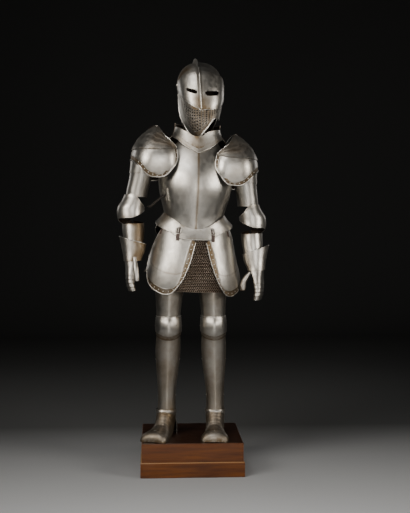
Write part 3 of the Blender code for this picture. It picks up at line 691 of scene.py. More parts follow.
def swept(points, section, closed=False):
    """The skin of a section, (side, up) pairs, carried along a line of points."""
    points = np.array(points, float)
    count, around = len(points), len(section)
    ahead = np.roll(points, -1, 0) - np.roll(points, 1, 0)
    if not closed:
        ahead[0], ahead[-1] = points[1] - points[0], points[-1] - points[-2]
    ahead /= np.linalg.norm(ahead, axis=1, keepdims=True) + 1e-12
    up = np.array([0.0, 0, 1]) if abs(ahead[0][2]) < 0.9 else np.array([0.0, -1, 0])
    skin, faces = [], []
    for point, direction in zip(points, ahead):
        up = up - direction * (up @ direction)
        up /= np.linalg.norm(up)
        across = np.cross(direction, up)
        across /= np.linalg.norm(across) + 1e-12
        over = np.cross(across, direction)
        skin += [point + across * s + over * u for s, u in section]
    for i in range(count if closed else count - 1):
        a, b = i * around, ((i + 1) % count) * around
        for k in range(around):
            m = (k + 1) % around
            faces.append((a + k, a + m, b + m, b + k))
    if not closed:
        last = (count - 1) * around
        faces += [tuple(range(around))[::-1], tuple(last + k for k in range(around))]
    return skin, faces


def evened(points, step, normals=None):
    """Points at even steps along a line."""
    points = np.array(points, float)
    run = np.concatenate([[0], np.cumsum(np.linalg.norm(np.diff(points, axis=0), axis=1))])
    want = np.linspace(0, run[-1], max(2, int(round(run[-1] / step)) + 1))

    def pick(grid):
        return np.stack([np.interp(want, run, grid[:, k]) for k in range(3)], 1)

    return pick(points) if normals is None else (pick(points), pick(np.array(normals, float)))


def round_section(radius, sides=10):
    turns = [math.tau * k / sides for k in range(sides)]
    return [(radius * math.cos(turn), radius * math.sin(turn)) for turn in turns]


print("a rim has", len(round_section(0.0022)), "sides")

# %% [markdown]
# ## Rims and beads on a plate
# The rim's tube is centred in the depth of the sheet, so that it shows on both faces as a turned
# border does. A bead is the thin line that a smith raises beside it; it is left out where another
# edge comes too near, or it would cross the corner.

# %% Rims and beads
def rim(sheet, edges, radius=0.0022, finish=None):
    """A turned rim along these edges of a plate, one after another."""
    found = [sheet.edge_line(edge) for edge in edges]
    line, over = (np.concatenate([pair[k] for pair in found]) for k in (0, 1))
    line, over = evened(line + over * (-STEEL / 2), RIM_STEP, over)
    eased = line.copy()
    eased[1:-1] = (line[:-2] + line[1:-1] * 2 + line[2:]) / 4
    skin, faces = swept(eased, round_section(radius))
    name = f"{sheet.name}_rim_{'_'.join(edges)}"
    return piece(name, skin, faces, finish or rim_steel, sheet.body)


def bead(sheet, edges, inset, radius=0.0010):
    """A thin raised line that follows the edges of a plate, inset from them."""
    line = np.concatenate([sheet.edge_line(edge, inset)[0] for edge in edges])
    keep = sheet.nearest(line, edges) > inset * 0.8
    skin, faces = swept(evened(line[keep], BEAD_STEP), round_section(radius, 6))
    return piece(f"{sheet.name}_bead", skin, faces, rim_steel, sheet.body)


print("rims are laid in steps of", RIM_STEP * 1000, "mm")

# %% [markdown]
# ## Rivets
# Rivets are low domes set at even steps. One object for each would be hundreds, so all those of
# one plate are in one mesh.

# %% Rivets
DOME_HEIGHT, DOME_SUNK, DOME_RINGS, DOME_SIDES = 0.55, 0.0003, 3, 10


def dome(spot, normal, radius, base):
    """The points and faces of one low dome; base is the number of its first point."""
    normal = np.array(normal) / np.linalg.norm(normal)
    across = np.cross(normal, [0.3, 0.1, 0.9])
    across /= np.linalg.norm(across)
    over = np.cross(normal, across)
    points, faces = [], []
    for r in range(DOME_RINGS):
        turn = math.pi / 2 * r / DOME_RINGS
        rise = normal * (radius * DOME_HEIGHT * math.sin(turn) - DOME_SUNK)
        for k in range(DOME_SIDES):
            angle = math.tau * k / DOME_SIDES
            out = across * math.cos(angle) + over * math.sin(angle)
            points.append(spot + out * radius * math.cos(turn) + rise)
    points.append(spot + normal * (radius * DOME_HEIGHT - DOME_SUNK))
    top, last = base + DOME_RINGS * DOME_SIDES, base + (DOME_RINGS - 1) * DOME_SIDES
    sides = [(k, (k + 1) % DOME_SIDES) for k in range(DOME_SIDES)]
    for a in range(base, last, DOME_SIDES):
        faces += [(a + k, a + m, a + DOME_SIDES + m, a + DOME_SIDES + k) for k, m in sides]
    return points, faces + [(last + k, last + m, top) for k, m in sides]


def domes(name, spots, normals, radius, body, finish=None):
    """Low domes standing on a surface, in one mesh."""
    points, faces = [], []
    for spot, normal in zip(spots, normals):
        some, around = dome(spot, normal, radius, len(points))
        points += some
        faces += around
    return piece(name, points, faces, finish or rim_steel, body)


def rivets(sheet, edge, inset, pitch, radius, first=0.0, last=1.0):
    """A row of rivets along an edge, inset from it."""
    line, over = sheet.edge_line(edge, inset)
    begin, stop = int(len(line) * first), int(len(line) * last)
    part = slice(begin, max(stop, begin + 2))
    spots, normals = evened(line[part], pitch, over[part])
    return domes(f"{sheet.name}_rivets_{edge}", spots, normals, radius, sheet.body)


def rivets_at(sheet, label, places, radius, finish=None):
    """Single rivets at (share, level) places of a plate."""
    spots, normals = zip(*(sheet.at(*place) for place in places))
    return domes(f"{sheet.name}_{label}", spots, normals, radius, sheet.body, finish)


print("a rivet has", DOME_RINGS * DOME_SIDES + 1, "points")

# %% [markdown]
# ## The helmet's form
# Skull, visor and bevor turn on one pair of pivots at the temples, so that one can slide under
# the next. A turned ball would do for that, but a head is longer than it is round. Here each ring
# runs from temple to temple at its own angle round the pivots' axis, with its own radius. The
# ridge stands a little to the wearer's right of the middle, as on the hammered original.

# %% Rings from temple to temple
COMB_HALF, COMB_HEIGHT, WIDEST = 0.0062, 0.84, math.radians(84)
ridge = through((-110, -8), (180, -8), (270, -4))


class Helmet(Form):
    """Rings that all meet at the two temple pivots: station is the angle round the pivot axis in
    degrees, 0 ahead and 90 up, and angle runs from temple to temple, 0 on the ridge."""

    def middles(self, station):
        return np.zeros(np.shape(station) + (3,))

    def points(self, station, angle):
        found = self.sizes(station)
        power = 2 / found["square"]
        from_ridge = angle
        angle = angle + np.radians(ridge(station)) * (1 - (angle / WIDEST) ** 2)
        across = found["half"] * powered(np.sin(angle), power)
        radius = found["front"] * np.maximum(0, np.cos(angle)) ** power
        comb = np.maximum(0, 1 - np.abs(from_ridge) * 0.115 / COMB_HALF) ** 1.15
        radius = radius + found["comb"] * comb
        turn = np.radians(station)
        return np.stack([across, -radius * np.cos(turn), radius * np.sin(turn)], -1)


HEAD = Helmet("angle half front square comb", [
    (-110, 0.098, 0.33, 2.3, 0.0), (-90, 0.097, 0.3, 2.25, 0.0),
    (-76, 0.093, 0.285, 2.2, 0.002), (-67, 0.094, 0.274, 2.2, 0.004),
    (-58, 0.099, 0.246, 2.25, 0.005), (-50, 0.102, 0.217, 2.3, 0.007),
    (-41, 0.1028, 0.196, 2.35, 0.009), (-30, 0.103, 0.166, 2.45, 0.012),
    (-15, 0.103, 0.139, 2.5, 0.016), (0, 0.103, 0.121, 2.5, 0.02),
    (20, 0.103, 0.11, 2.4, 0.023), (45, 0.103, 0.1035, 2.25, 0.024),
    (70, 0.103, 0.102, 2.2, 0.024), (90, 0.103, 0.103, 2.2, 0.024),
    (120, 0.103, 0.108, 2.2, 0.021), (150, 0.103, 0.116, 2.25, 0.015),
    (180, 0.103, 0.118, 2.3, 0.008), (210, 0.102, 0.13, 2.3, 0.002),
    (230, 0.1, 0.16, 2.3, 0.0), (246, 0.098, 0.23, 2.3, 0.0),
    (270, 0.097, 0.31, 2.3, 0.0),
])
HEAD.table[:, HEAD.names.index("comb")] *= COMB_HEIGHT
print("the helmet's form has", len(HEAD.table), "rings")

# %% [markdown]
# ## Skull
# The skull is one plate from the brow over the crown to the nape, with the comb drawn up from the
# middle. The comb needs many narrow faces, the cheeks only a few, so the columns stand closer
# near the ridge than at the sides.

# %% Skull
TEMPLES = (-84, 84)
columns = [np.linspace(*span) for span in ((0, 0.46, 45), (0.46, 0.54, 17), (0.54, 1, 45))]
head_shares = np.unique(np.round(np.concatenate(columns), 6))
nape = arch(268, 256, 246)


def brown_brow(share, level):
    """Brown over the forehead on the wearer's right, fading up and towards the ridge."""
    low = smooth(0.42 - level, 0, 0.3) * smooth(level, 0.03, 0.14)
    return low * smooth(0.51 - share, 0, 0.2)


skull = plate("helmet_skull", HEAD, TEMPLES, (14, nape), (head_shares, 60), head, age=brown_brow)
print("crown at z", round(float(skull.points[..., 2].max()), 3))

# %% [markdown]
# ## Visor
# The visor is cut by two sights, one for each eye. They are left out as whole cells of its grid,
# so the levels are set to fall on the slots' upper and lower edges. It lies outside both the
# bevor and the skull, since it slides up over them.

# %% Visor
VISOR_LIFT = 2 * LAYER + 0.0014
sight_low = through((0, -18), (0.25, -21.5), (0.5, -25.5), (0.75, -27.5), (1, -27))
sight_high = through((0, -12), (0.25, -14.5), (0.5, -18.5), (0.75, -20.5), (1, -20))
visor_low = through((0, -47), (0.1, -43), (0.25, -39.5), (0.5, -41.5), (0.72, -43), (0.9, -47),
                    (1, -50))
levels = [np.linspace(*span) for span in ((0, 1 / 3, 11), (1 / 3, 2 / 3, 7), (2 / 3, 1, 16))]
sight_levels = np.unique(np.concatenate(levels))


def sights(share, level):
    """Two slots with rounded ends, one each side of the nose."""
    away, right = np.abs(share - MIDDLE) * 2, share < MIDDLE
    end = np.minimum(away - np.where(right, 0.085, 0.10), np.where(right, 0.435, 0.45) - away)
    return (end > 0) & (np.abs(level - 0.5) < np.where(end > 0.03, 0.167, 0.11))


def brown_nose(share, level):
    return 0.75 * smooth(0.15 - np.abs(share - MIDDLE), 0, 0.13) * smooth(0.46 - level, 0, 0.3)


visor = plate("visor", HEAD, TEMPLES, (visor_low, sight_low, sight_high, arch(22, 24)),
              (head_shares, sight_levels), head, out=VISOR_LIFT, hole=sights, age=brown_nose)
print("visor tip at z", round(float(visor.points[..., 2].min()), 3))

# %% [markdown]
# ## Bevor
# The bevor guards mouth and chin. Rows of small breaths let air in, and below them it is smooth
# where it is drawn to a point over the collar.

# %% Bevor
bevor_low = through((0, -104), (0.1, -98), (0.25, -82), (0.36, -76), (0.42, -71.5), (0.5, -65),
                    (0.58, -58.5), (0.66, -53), (0.78, -60), (0.9, -84), (1, -104))


def breaths(share, level):
    """Rows of small air holes over the mouth, out to the smooth border."""
    away = np.abs(share - MIDDLE) * 2
    return (away < 0.62) & (level > 0.12 + 0.3 * away) & (level < 0.70)


def brown_mouth(share, level):
    near = smooth(0.22 - np.abs(share - MIDDLE), 0, 0.16)
    return 0.8 * near + 0.25 * smooth(level, 0.1, 0.3)


bevor = plate("bevor", HEAD, TEMPLES, (bevor_low, -32), (26, 14), head, out=LAYER,
              pierced=breaths, age=brown_mouth)
print("helmet", [round(v, 3) for v in bevor.points.min((0, 1))])

# %% [markdown]
# ## The comb's edge and the pivots
# A real comb is closed by folding its crest over, which leaves a rounded edge. It is drawn as a
# tube that follows the plate's own middle line, sunk a little into the skull.

# %% Crest, rims and pivots
def crest(sheet, name, low, high, radius, sunk=0.0):
    """The rounded edge of the comb, a tube along the middle line of a plate."""
    found = [sheet.at(MIDDLE, level) for level in np.linspace(low, high, 60)]
    line = np.array([point - sunk * normal for point, normal in found])
    skin, faces = swept(evened(line, RIM_STEP), round_section(radius))
    return piece(name, skin, faces, rim_steel, sheet.body)


crest(skull, "comb_edge_skull", 0.02, 0.93, 0.0022, sunk=0.0016)
crest(visor, "comb_edge_visor", 0.03, 0.93, 0.0024)
rim(visor, ["low"], 0.0018)
rim(bevor, ["low"], 0.0036)
rim(skull, ["high"], 0.0024)
rivets_at(visor, "pivot", [(0.0, 0.62), (1.0, 0.62)], 0.0080)
print("the helmet has its comb, rims and pivots")

# %% [markdown]
# ## Breastplate and backplate
# The breastplate is globed, with a low ridge down its middle that turns a lance aside, and a
# point at the waist. It and the backplate are two patches of one form that meet at the sides, so
# their seams fit without any trimming.

# %% Breast and back
TRUNK = Form("z half front back keel", [
    (1.09, 0.15, 0.133, 0.104, 0.006), (1.125, 0.145, 0.134, 0.098, 0.008),
    (1.16, 0.14, 0.136, 0.093, 0.009), (1.195, 0.139, 0.141, 0.09, 0.009),
    (1.235, 0.148, 0.151, 0.093, 0.009), (1.28, 0.161, 0.162, 0.102, 0.009),
    (1.33, 0.171, 0.168, 0.112, 0.008), (1.38, 0.175, 0.162, 0.12, 0.007),
    (1.43, 0.17, 0.146, 0.123, 0.005), (1.48, 0.152, 0.122, 0.116, 0.004),
    (1.52, 0.124, 0.1, 0.1, 0.003), (1.55, 0.098, 0.084, 0.084, 0.002),
], square=2.25)
side_front = straight((0, 89.85), (0.45, 89.85), (0.75, 62), (1, 58))
side_back = straight((0, 90.15), (0.45, 90.15), (0.75, 118), (1, 122))


def brown_ridge(share, level):
    on_ridge = smooth(0.014 - np.abs(share - MIDDLE), 0, 0.012)
    return 0.25 * smooth(level, 0.75, 1) + 0.8 * on_ridge


breast = plate("breastplate", TRUNK, (lambda level: -side_front(level), side_front),
               (arch(1.190, 1.150, 1.122), arch(1.545, 1.535, 1.500)), (64, 60), trunk,
               age=brown_ridge)
back = plate("backplate", TRUNK, (side_back, lambda level: 360 - side_back(level)),
             (1.190, 1.500), (56, 50), trunk)
print("breast reaches y", round(float(breast.points[..., 1].min()), 3))

# %% [markdown]
# ## Gorget and collar
# The gorget spreads the helmet's weight on the shoulders, and the flared collar over it closes
# the gap under the bevor. Both lie over the breastplate in a V, so their edges are straight
# stretches that meet in a point, not a curve.

# %% Gorget and collar
COLLAR = Form("z half front back keel", [
    (1.47, 0.19, 0.126, 0.1214, 0.006), (1.5, 0.17, 0.1135, 0.1132, 0.006),
    (1.53, 0.148, 0.105, 0.106, 0.007), (1.56, 0.126, 0.098, 0.104, 0.007),
    (1.58, 0.112, 0.095, 0.1, 0.006), (1.6, 0.105, 0.094, 0.098, 0.003),
    (1.64, 0.104, 0.096, 0.1, 0.0),
], square=2.05)
FRONT, BEHIND = (-89.75, 89.75), (90.25, 269.75)
gorget = plate("gorget_front", COLLAR, FRONT, (arch(1.572, 1.548, 1.487, kind=straight),
               arch(1.590, 1.576, 1.520, kind=straight)), (64, 8), trunk, age=0.25)
plate("gorget_back", COLLAR, BEHIND, (arch(1.545, 1.510, 1.488), 1.590), (48, 16), trunk)
collar_high = through((0, 1.614), (0.2, 1.603), (0.35, 1.582), (0.47, 1.564), (0.54, 1.568),
                      (0.6, 1.584), (0.7, 1.596), (0.85, 1.604), (1, 1.614))
plate("collar_front", COLLAR, FRONT, (arch(1.582, 1.566, 1.505, kind=straight), collar_high),
      (64, 16), trunk, out=LAYER,
      age=lambda share, level: 0.5 * smooth(0.13 - np.abs(share - MIDDLE), 0, 0.12))
collar_back = plate("collar_back", COLLAR, BEHIND, (1.578, 1.630), (48, 12), trunk,
                    out=LAYER + 0.0005, finish=brown_steel)
rim(breast, ["low"], 0.0024)
rim(back, ["low"], 0.0020)
rim(collar_back, ["high"], 0.0018, finish=brown_steel)
rim(gorget, ["low"], 0.0018)
print("trunk pieces drawn")

# %% [markdown]
# ## Fauld and culet
# The fauld is the waist plate in front and the culet guards the rump. The fauld dips in the
# middle under the breastplate's point and its ends flare away from the hips, so that the thighs
# can lift: that flare is an extra lift along the normals, not a second form.

# %% Fauld, culet and the skirt's lining
HIPS = Form("z half front back", [
    (1.205, 0.141, 0.144, 0.0944), (1.175, 0.155, 0.1435, 0.106), (1.145, 0.171, 0.143, 0.124),
    (1.11, 0.183, 0.149, 0.138), (1.084, 0.189, 0.156, 0.146), (1.04, 0.199, 0.166, 0.158),
    (0.984, 0.213, 0.178, 0.168), (0.934, 0.226, 0.185, 0.174), (0.88, 0.235, 0.187, 0.176),
    (0.82, 0.238, 0.184, 0.176),
], square=2.15)
SKIRT = Form("z half reach front back", [
    (1.145, 0.134, 0.134, 0.124, 0.094), (1.11, 0.147, 0.148, 0.128, 0.106),
    (1.06, 0.161, 0.166, 0.13, 0.12), (1.0, 0.1722, 0.1806, 0.126, 0.126),
    (0.92, 0.1745, 0.1835, 0.12, 0.116), (0.838, 0.1745, 0.1835, 0.1125, 0.11),
], square=2.7, inner=2.7)
apron = straight((0, 1.155), (0.27, 1.118), (0.34, 1.100), (0.40, 1.084), (0.60, 1.084),
                 (0.66, 1.100), (0.73, 1.118), (1, 1.155))
belt = through((0, 1.205), (0.12, 1.199), (0.25, 1.180), (0.5, 1.134), (0.75, 1.180),
               (0.88, 1.199), (1, 1.205))


def flare(share, level):
    """The fauld's ends stand away from the hips, and its middle lies close to the breastplate."""
    away = np.abs(share - MIDDLE)
    ends = 0.013 * (1 - level) ** 1.3 * smooth(away, 0.16, 0.36)
    return ends - 0.0024 * level * np.maximum(0, 1 - away / 0.13)


fauld = plate("fauld", HIPS, (-86, 86), (apron, belt), (72, 12), trunk, out=LAYER + 0.0006,
              swell=flare,
              age=lambda share, level: 0.5 * smooth(0.22 - share, 0, 0.1) * smooth(level, 0.1, 0.6))
culet = plate("culet", HIPS, (98, 262), (arch(1.130, 1.030), 1.203), (60, 24), trunk, out=LAYER)
# The mail skirt's backing sheet is dark as painted shade, for rings in shadow behind the rings.
plate("mail_skirt", SKIRT, (-180, 172), (0.843, 1.140), (90, 40), trunk, wall=0.0010,
      finish=mail, slot="mail", ease=0, name="mail_skirt_shade_backing")
print("fauld and culet drawn")

# %% [markdown]
# ## Mail rings
# Real mail is woven: each ring passes through four others. Thousands of linked rings are heavy
# and look no different from here, so the rings lie side by side, every row shifted by half a ring
# and leaning the other way. All rings of one half are built at once in numpy as one mesh.

# %% Rings of the mail skirt
RING_STEP, ROW_STEP, RING_LEAN, RING_PROUD = 0.0096, 0.0078, 0.45, 0.0026
RING_RADIUS, RING_WIRE, RING_SIDES, WIRE_SIDES = 0.0050, 0.00095, 8, 4


def hoops(name, centres, outs, ups, body):
    """Many wire rings in one mesh; outs and ups say how each one lies."""
    outs = outs / np.linalg.norm(outs, axis=1, keepdims=True)
    across = np.cross(ups, outs)
    across /= np.linalg.norm(across, axis=1, keepdims=True)
    ups = np.cross(outs, across)
    lean = ups * math.cos(RING_LEAN) + outs * math.sin(RING_LEAN)
    axis = np.cross(across, lean)
    turn = (np.arange(RING_SIDES) * math.tau / RING_SIDES)[None, :, None]
    roll = (np.arange(WIRE_SIDES) * math.tau / WIRE_SIDES)[None, None, :, None]
    ring = np.cos(turn) * across[:, None] + np.sin(turn) * lean[:, None]
    points = centres[:, None, None] + ring[:, :, None] * (RING_RADIUS + RING_WIRE * np.cos(roll))
    points = points + axis[:, None, None] * (RING_WIRE * np.sin(roll))
    index = np.arange(RING_SIDES * WIRE_SIDES).reshape(RING_SIDES, WIRE_SIDES)
    after = np.roll(index, -1, 0)
    one = np.stack([index, after, np.roll(after, -1, 1), np.roll(index, -1, 1)], -1).reshape(-1, 4)
    first = np.arange(len(centres)) * index.size
    faces = (one[None] + first[:, None, None]).reshape(-1, 4)
    return piece(name, points.reshape(-1, 3), faces, mail_wire, body)


def mail_rings(name, first, last):
    """Wire rings on the skirt between two angles."""
    centres, outs, ups = [], [], []
    for row, height in enumerate(np.arange(0.8455, 1.128, ROW_STEP)):
        around = np.radians(np.linspace(first, last, 400))
        line = SKIRT.points(np.full(400, height), around)
        run = np.concatenate([[0], np.cumsum(np.linalg.norm(np.diff(line, axis=0), axis=1))])
        start = RING_STEP * (0.25 + 0.5 * (row % 2))
        angles = np.interp(np.arange(start, run[-1], RING_STEP), run, around)
        stations = np.full(len(angles), height)
        out = SKIRT.outward(stations, angles)
        centres.append(SKIRT.points(stations, angles) + out * RING_PROUD)
        outs.append(out)
        ups.append(np.tile([0, 0, 1.0 if row % 2 else -1.0], (len(angles), 1)))
    turn = np.array(trunk.to_3x3()).T
    outs, ups = np.concatenate(outs) @ turn, np.concatenate(ups) @ turn
    return hoops(name, carried(np.concatenate(centres), trunk), outs, ups, carried_by["mail_skirt"])


halves = [mail_rings("mail_rings_front", -90, 90), mail_rings("mail_rings_back", 90, 265)]
points_drawn = sum(len(half.data.vertices) for half in halves)
print("mail has", points_drawn // (RING_SIDES * WIRE_SIDES), "rings")

# %% [markdown]
# ## Buckles
# A forged frame with rounded corners and one tongue. A real one is bent from rod, so both parts
# are swept tubes here, laid on the curved plate point by point.

# %% Buckles
BUCKLE_WIRE, HIP_RADIUS, STRAP_PROUD = 0.0014, 0.16, 0.0014


def buckle(name, station, degrees, side, half):
    """A frame buckle with its tongue on the upper end of a tasset's strap."""
    turn, lift = math.radians(degrees), LAYER + STEEL + STRAP_PROUD + LEATHER + BUCKLE_WIRE

    def at(up, along):
        height, angle = np.array(station + up), np.array(turn + along / HIP_RADIUS)
        return HIPS.points(height, angle) + HIPS.outward(height, angle) * lift

    frame_line = [at(half[1] * powered(math.sin(t), 0.6), half[0] * powered(math.cos(t), 0.6))
                  for t in np.linspace(0, math.tau, 20, endpoint=False)]
    tongue = [at(half[1] * s, 0) for s in np.linspace(-0.7, 1.0, 6)]
    points, faces = [], []
    for line, closed in ((np.array(frame_line), True), (np.array(tongue), False)):
        line = carried(line * np.array([side, 1, 1]), trunk)
        skin, some = swept(line, round_section(BUCKLE_WIRE, 8), closed)
        faces += [tuple(v + len(points) for v in face) for face in some]
        points += skin
    return piece(name, points, faces, rim_steel, carried_by["fauld"])


rim(fauld, ["low"], 0.0020)
rim(culet, ["low"], 0.0020)
print("buckles can be bent")

# %% [markdown]
# ## Tassets and their straps
# A tasset hangs from two straps before each thigh. It has a round lower end, a sunk border with a
# bead along it, darkened with painted shade, and a row of rivets that held its padding. The border
# is one function of the distance to the edges, so it follows the curve with no drawing by hand.

# %% Tassets
TASSET_TURN = {"left": 7, "right": -7}
TASSET_EDGES, TASSET_BORDER = ("start", "low"), 0.026
tasset_inner = through((0, 22), (0.12, 19), (0.3, 15.5), (0.5, 12.5), (0.8, 9), (1, 7))
tasset_outer = through((0, 78), (0.2, 84), (0.5, 80), (0.8, 68), (1, 60))
tasset_low = through((0, 0.878), (0.15, 0.838), (0.3, 0.829), (0.5, 0.840), (0.75, 0.868),
                     (0.9, 0.900), (1, 0.940))
tasset_high = straight((0, 1.072), (0.12, 1.100), (0.3, 1.126), (1, 1.165))


def sunk_border(depth, width):
    """A relief that steps down near a plate's edges."""
    return lambda away: -depth * smooth(width - away, 0, 0.002)


def tasset(name, side):
    turn = TASSET_TURN[name]
    # The darkened strip along the sunk border is painted shade in its recess.
    made = plate(f"tasset_{name}", HIPS, (lambda level: tasset_inner(level) + turn,
                 lambda level: tasset_outer(level) + turn), (tasset_low, tasset_high), (48, 64),
                 trunk, side=side, relief=(TASSET_EDGES, sunk_border(0.0010, TASSET_BORDER)),
                 border=(TASSET_EDGES, TASSET_BORDER, 0.75),
                 age=lambda share, level: 0.35 * np.exp(-((level - 0.33) / 0.012) ** 2))
    for edge, radius in (("start", 0.0020), ("low", 0.0024), ("end", 0.0018)):
        rim(made, [edge], radius)
    bead(made, TASSET_EDGES, TASSET_BORDER + 0.001)
    rivets(made, "start", 0.013, 0.024, 0.0028, first=0.1)
    rivets(made, "low", 0.013, 0.026, 0.0028)
    return made


for name, side in SIDES.items():
    made = tasset(name, side)
    strap = dict(place=trunk, side=side, finish=leather, slot="leather")
    plate(f"tasset_strap_{name}_1", HIPS, (21.6, 26.4), (1.078, 1.140),
          (4, [0, 0.1, 0.2, 0.35, 0.5, 0.75, 1]), out=LAYER, wall=LEATHER, **strap,
          swell=lambda share, level: (STEEL + STRAP_PROUD) * np.minimum(1, level * 5))
    buckle(f"tasset_buckle_{name}", 1.122, 24, side, half=(0.0115, 0.0135))
    plate(f"tasset_strap_{name}_2", HIPS, (55.6, 60.4), (1.104, 1.166), (4, 8),
          out=STEEL + 0.0002, wall=0.0012, **strap)
print("the last tasset hangs to", round(float(made.points[..., 2].min()), 3))

# %% [markdown]
# ## Pauldrons
# A pauldron's wings are bent round the armpit, so its rings run nearly square on the inner side.
# Its upper plates spread like a fan from two lower corners over the point of the shoulder, each
# over the one below. They could be separate plates, but they never open wide, so they are one
# mesh whose surface steps out at every edge.

# %% Pauldrons
SHOULDER = Form("z x half reach front back", [
    (1.34, 0.198, 0.101, 0.106, 0.144, 0.128), (1.37, 0.198, 0.104, 0.114, 0.156, 0.138),
    (1.4, 0.197, 0.106, 0.119, 0.164, 0.146), (1.44, 0.196, 0.1031, 0.119, 0.166, 0.152),
    (1.48, 0.193, 0.099, 0.112, 0.156, 0.15), (1.51, 0.19, 0.089, 0.1, 0.137, 0.138),
    (1.54, 0.186, 0.073, 0.078, 0.108, 0.114), (1.57, 0.182, 0.045, 0.046, 0.072, 0.076),
    (1.59, 0.18, 0.02, 0.021, 0.034, 0.036), (1.6, 0.179, 0.006, 0.006, 0.01, 0.01),
], square=2.3, inner=4.0)
ARM = Form("z x y half front back", [
    (1.45, 0.236, -0.002, 0.06, 0.072, 0.07), (1.4, 0.243, -0.002, 0.055, 0.065, 0.064),
    (1.35, 0.252, 0.0, 0.051, 0.058, 0.058), (1.3, 0.262, 0.002, 0.049, 0.053, 0.053),
    (1.24, 0.273, 0.004, 0.048, 0.05, 0.05), (1.205, 0.29, 0.004, 0.047, 0.049, 0.05),
])
wing_low = through((0, 1.398), (0.05, 1.370), (0.12, 1.356), (0.19, 1.370), (0.26, 1.400),
                   (0.36, 1.424), (0.5, 1.434), (0.66, 1.410), (0.8, 1.352), (0.92, 1.360),
                   (1, 1.400))
wing_start, wing_end = through((0, -30), (0.4, -48), (1, -50)), through((0, 210), (0.4, 228), (1, 230))
WING_EDGES = ("start", "low", "end")
STEPS = np.array([0.0, 0.42, 0.62, 0.80, 1.0])
FAN_SHARES = [0, 0.08, 0.18, 0.30, 0.70, 0.82, 0.92, 1]
FAN_HEIGHTS = [1.492, 1.511, 1.5425, 1.593, 1.593, 1.5425, 1.511, 1.492]


def fan(share, level):
    """Lines from the straight lower edge up to a short upper edge over the shoulder's point."""
    low_angle = -50 + 280 * share
    low_station = np.interp(share, [0, 0.2, 0.8, 1], [1.490, 1.478, 1.478, 1.490])
    high_angle = np.interp(share, FAN_SHARES, [-50, -36, -14, 0, 180, 196, 216, 230])
    high_station = np.interp(share, FAN_SHARES, FAN_HEIGHTS)
    angle = low_angle + (high_angle - low_angle) * level
    return low_station + (high_station - low_station) * level, np.radians(angle)


def lames(share, level):
    """Each upper plate lies over the one below it, so the surface steps out at every edge."""
    inside = np.clip(np.searchsorted(STEPS, level, side="right") - 1, 0, 3)
    run = (level - STEPS[inside]) / (STEPS[inside + 1] - STEPS[inside])
    return 0.0016 * (1 - run) * smooth(np.minimum(share, 1 - share), 0, 0.10)


def brown_shoulder(share, level):
    return 0.62 * smooth(0.46 - share, 0, 0.3) * smooth(level, 0.0, 0.5)


spans = [np.linspace(STEPS[k] + 0.004 * (k > 0), STEPS[k + 1], 7) for k in range(4)]
lame_levels = np.unique(np.round(np.concatenate(spans + [STEPS]), 6))


def pauldron(name, side):
    """The winged main plate, the fan above it and the lame below it."""
    here = dict(place=upper[name], side=side)
    # The wing's darkened border strip is painted shade in the groove of its sunk border.
    return dict(
        wing=plate(f"pauldron_main_{name}", SHOULDER, (wing_start, wing_end), (wing_low, 1.490),
                   (96, 30), **here, out=LAYER, border=(WING_EDGES, 0.020, 0.85),
                   relief=(WING_EDGES, sunk_border(0.0014, 0.021))),
        top=plate(f"pauldron_top_{name}", SHOULDER, None, None, (96, lame_levels), **here,
                  out=2 * LAYER, chart=fan, swell=lames, age=brown_shoulder),
        lame=plate(f"shoulder_lame_{name}", ARM, (-25, 175), (1.372, 1.440), (50, 16), **here,
                   out=LAYER + 0.0005),
    )


print("a pauldron steps", len(STEPS) - 1, "times")

# %% [markdown]
# ## Cannons and couters
# Upper and lower cannon are tubes closed by a seam on the inner side. The couter is a bowl over
# the elbow with a wing that covers its bend. The tubes stop short of one another under it, and
# that open strip is what lets the forearm turn.

# %% Cannons and couters
FOREARM = Form("z x y half front back", [
    (1.19, 0.286, 0.0, 0.041, 0.044, 0.042), (1.16, 0.284, -0.004, 0.0475, 0.052, 0.048),
    (1.12, 0.283, -0.014, 0.05, 0.054, 0.05), (1.06, 0.284, -0.03, 0.0455, 0.048, 0.046),
    (1.0, 0.286, -0.048, 0.038, 0.04, 0.038), (0.96, 0.288, -0.06, 0.034, 0.036, 0.034),
])
COUTER = Form("z x y half reach front back", [
    (1.29, 0.2635, 0.002, 0.0545, 0.0545, 0.0545, 0.056),
    (1.268, 0.2677, 0.002, 0.0545, 0.0545, 0.0526, 0.0539),
    (1.245, 0.275, 0.004, 0.058, 0.058, 0.06, 0.063),
    (1.215, 0.286, 0.004, 0.0655, 0.062, 0.0665, 0.07),
    (1.195, 0.288, 0.004, 0.0675, 0.062, 0.068, 0.07),
    (1.165, 0.287, 0.0, 0.0662, 0.059, 0.0678, 0.0556),
    (1.133, 0.284, -0.008, 0.06, 0.055, 0.065, 0.0477),
    (1.12, 0.2835, -0.012, 0.059, 0.054, 0.0635, 0.0471),
])
TUBE = (-175, 175)
ELBOW_EASE, WRIST_EASE = {"left": 0.0, "right": -0.0012}, {"left": 0.0, "right": 0.0005}
FOREARM_BROWN, CUFF_BROWN = {"left": 0.2, "right": 0.85}, {"left": 0.2, "right": 0.75}
couter_low = through((0, 1.198), (0.13, 1.182), (0.3, 1.165), (0.42, 1.163), (0.54, 1.161),
                     (0.66, 1.154), (0.8, 1.138), (1, 1.142))
couter_high = through((0, 1.212), (0.13, 1.230), (0.32, 1.268), (0.6, 1.271), (1, 1.262))
cannon_high = through((0, 1.150), (0.2, 1.139), (0.5, 1.135), (0.8, 1.139), (1, 1.150))


def brown_inside(most):
    """Brown on the half of a tube that faces the body."""
    return lambda share, level: most * smooth(0.58 - share, 0, 0.12)


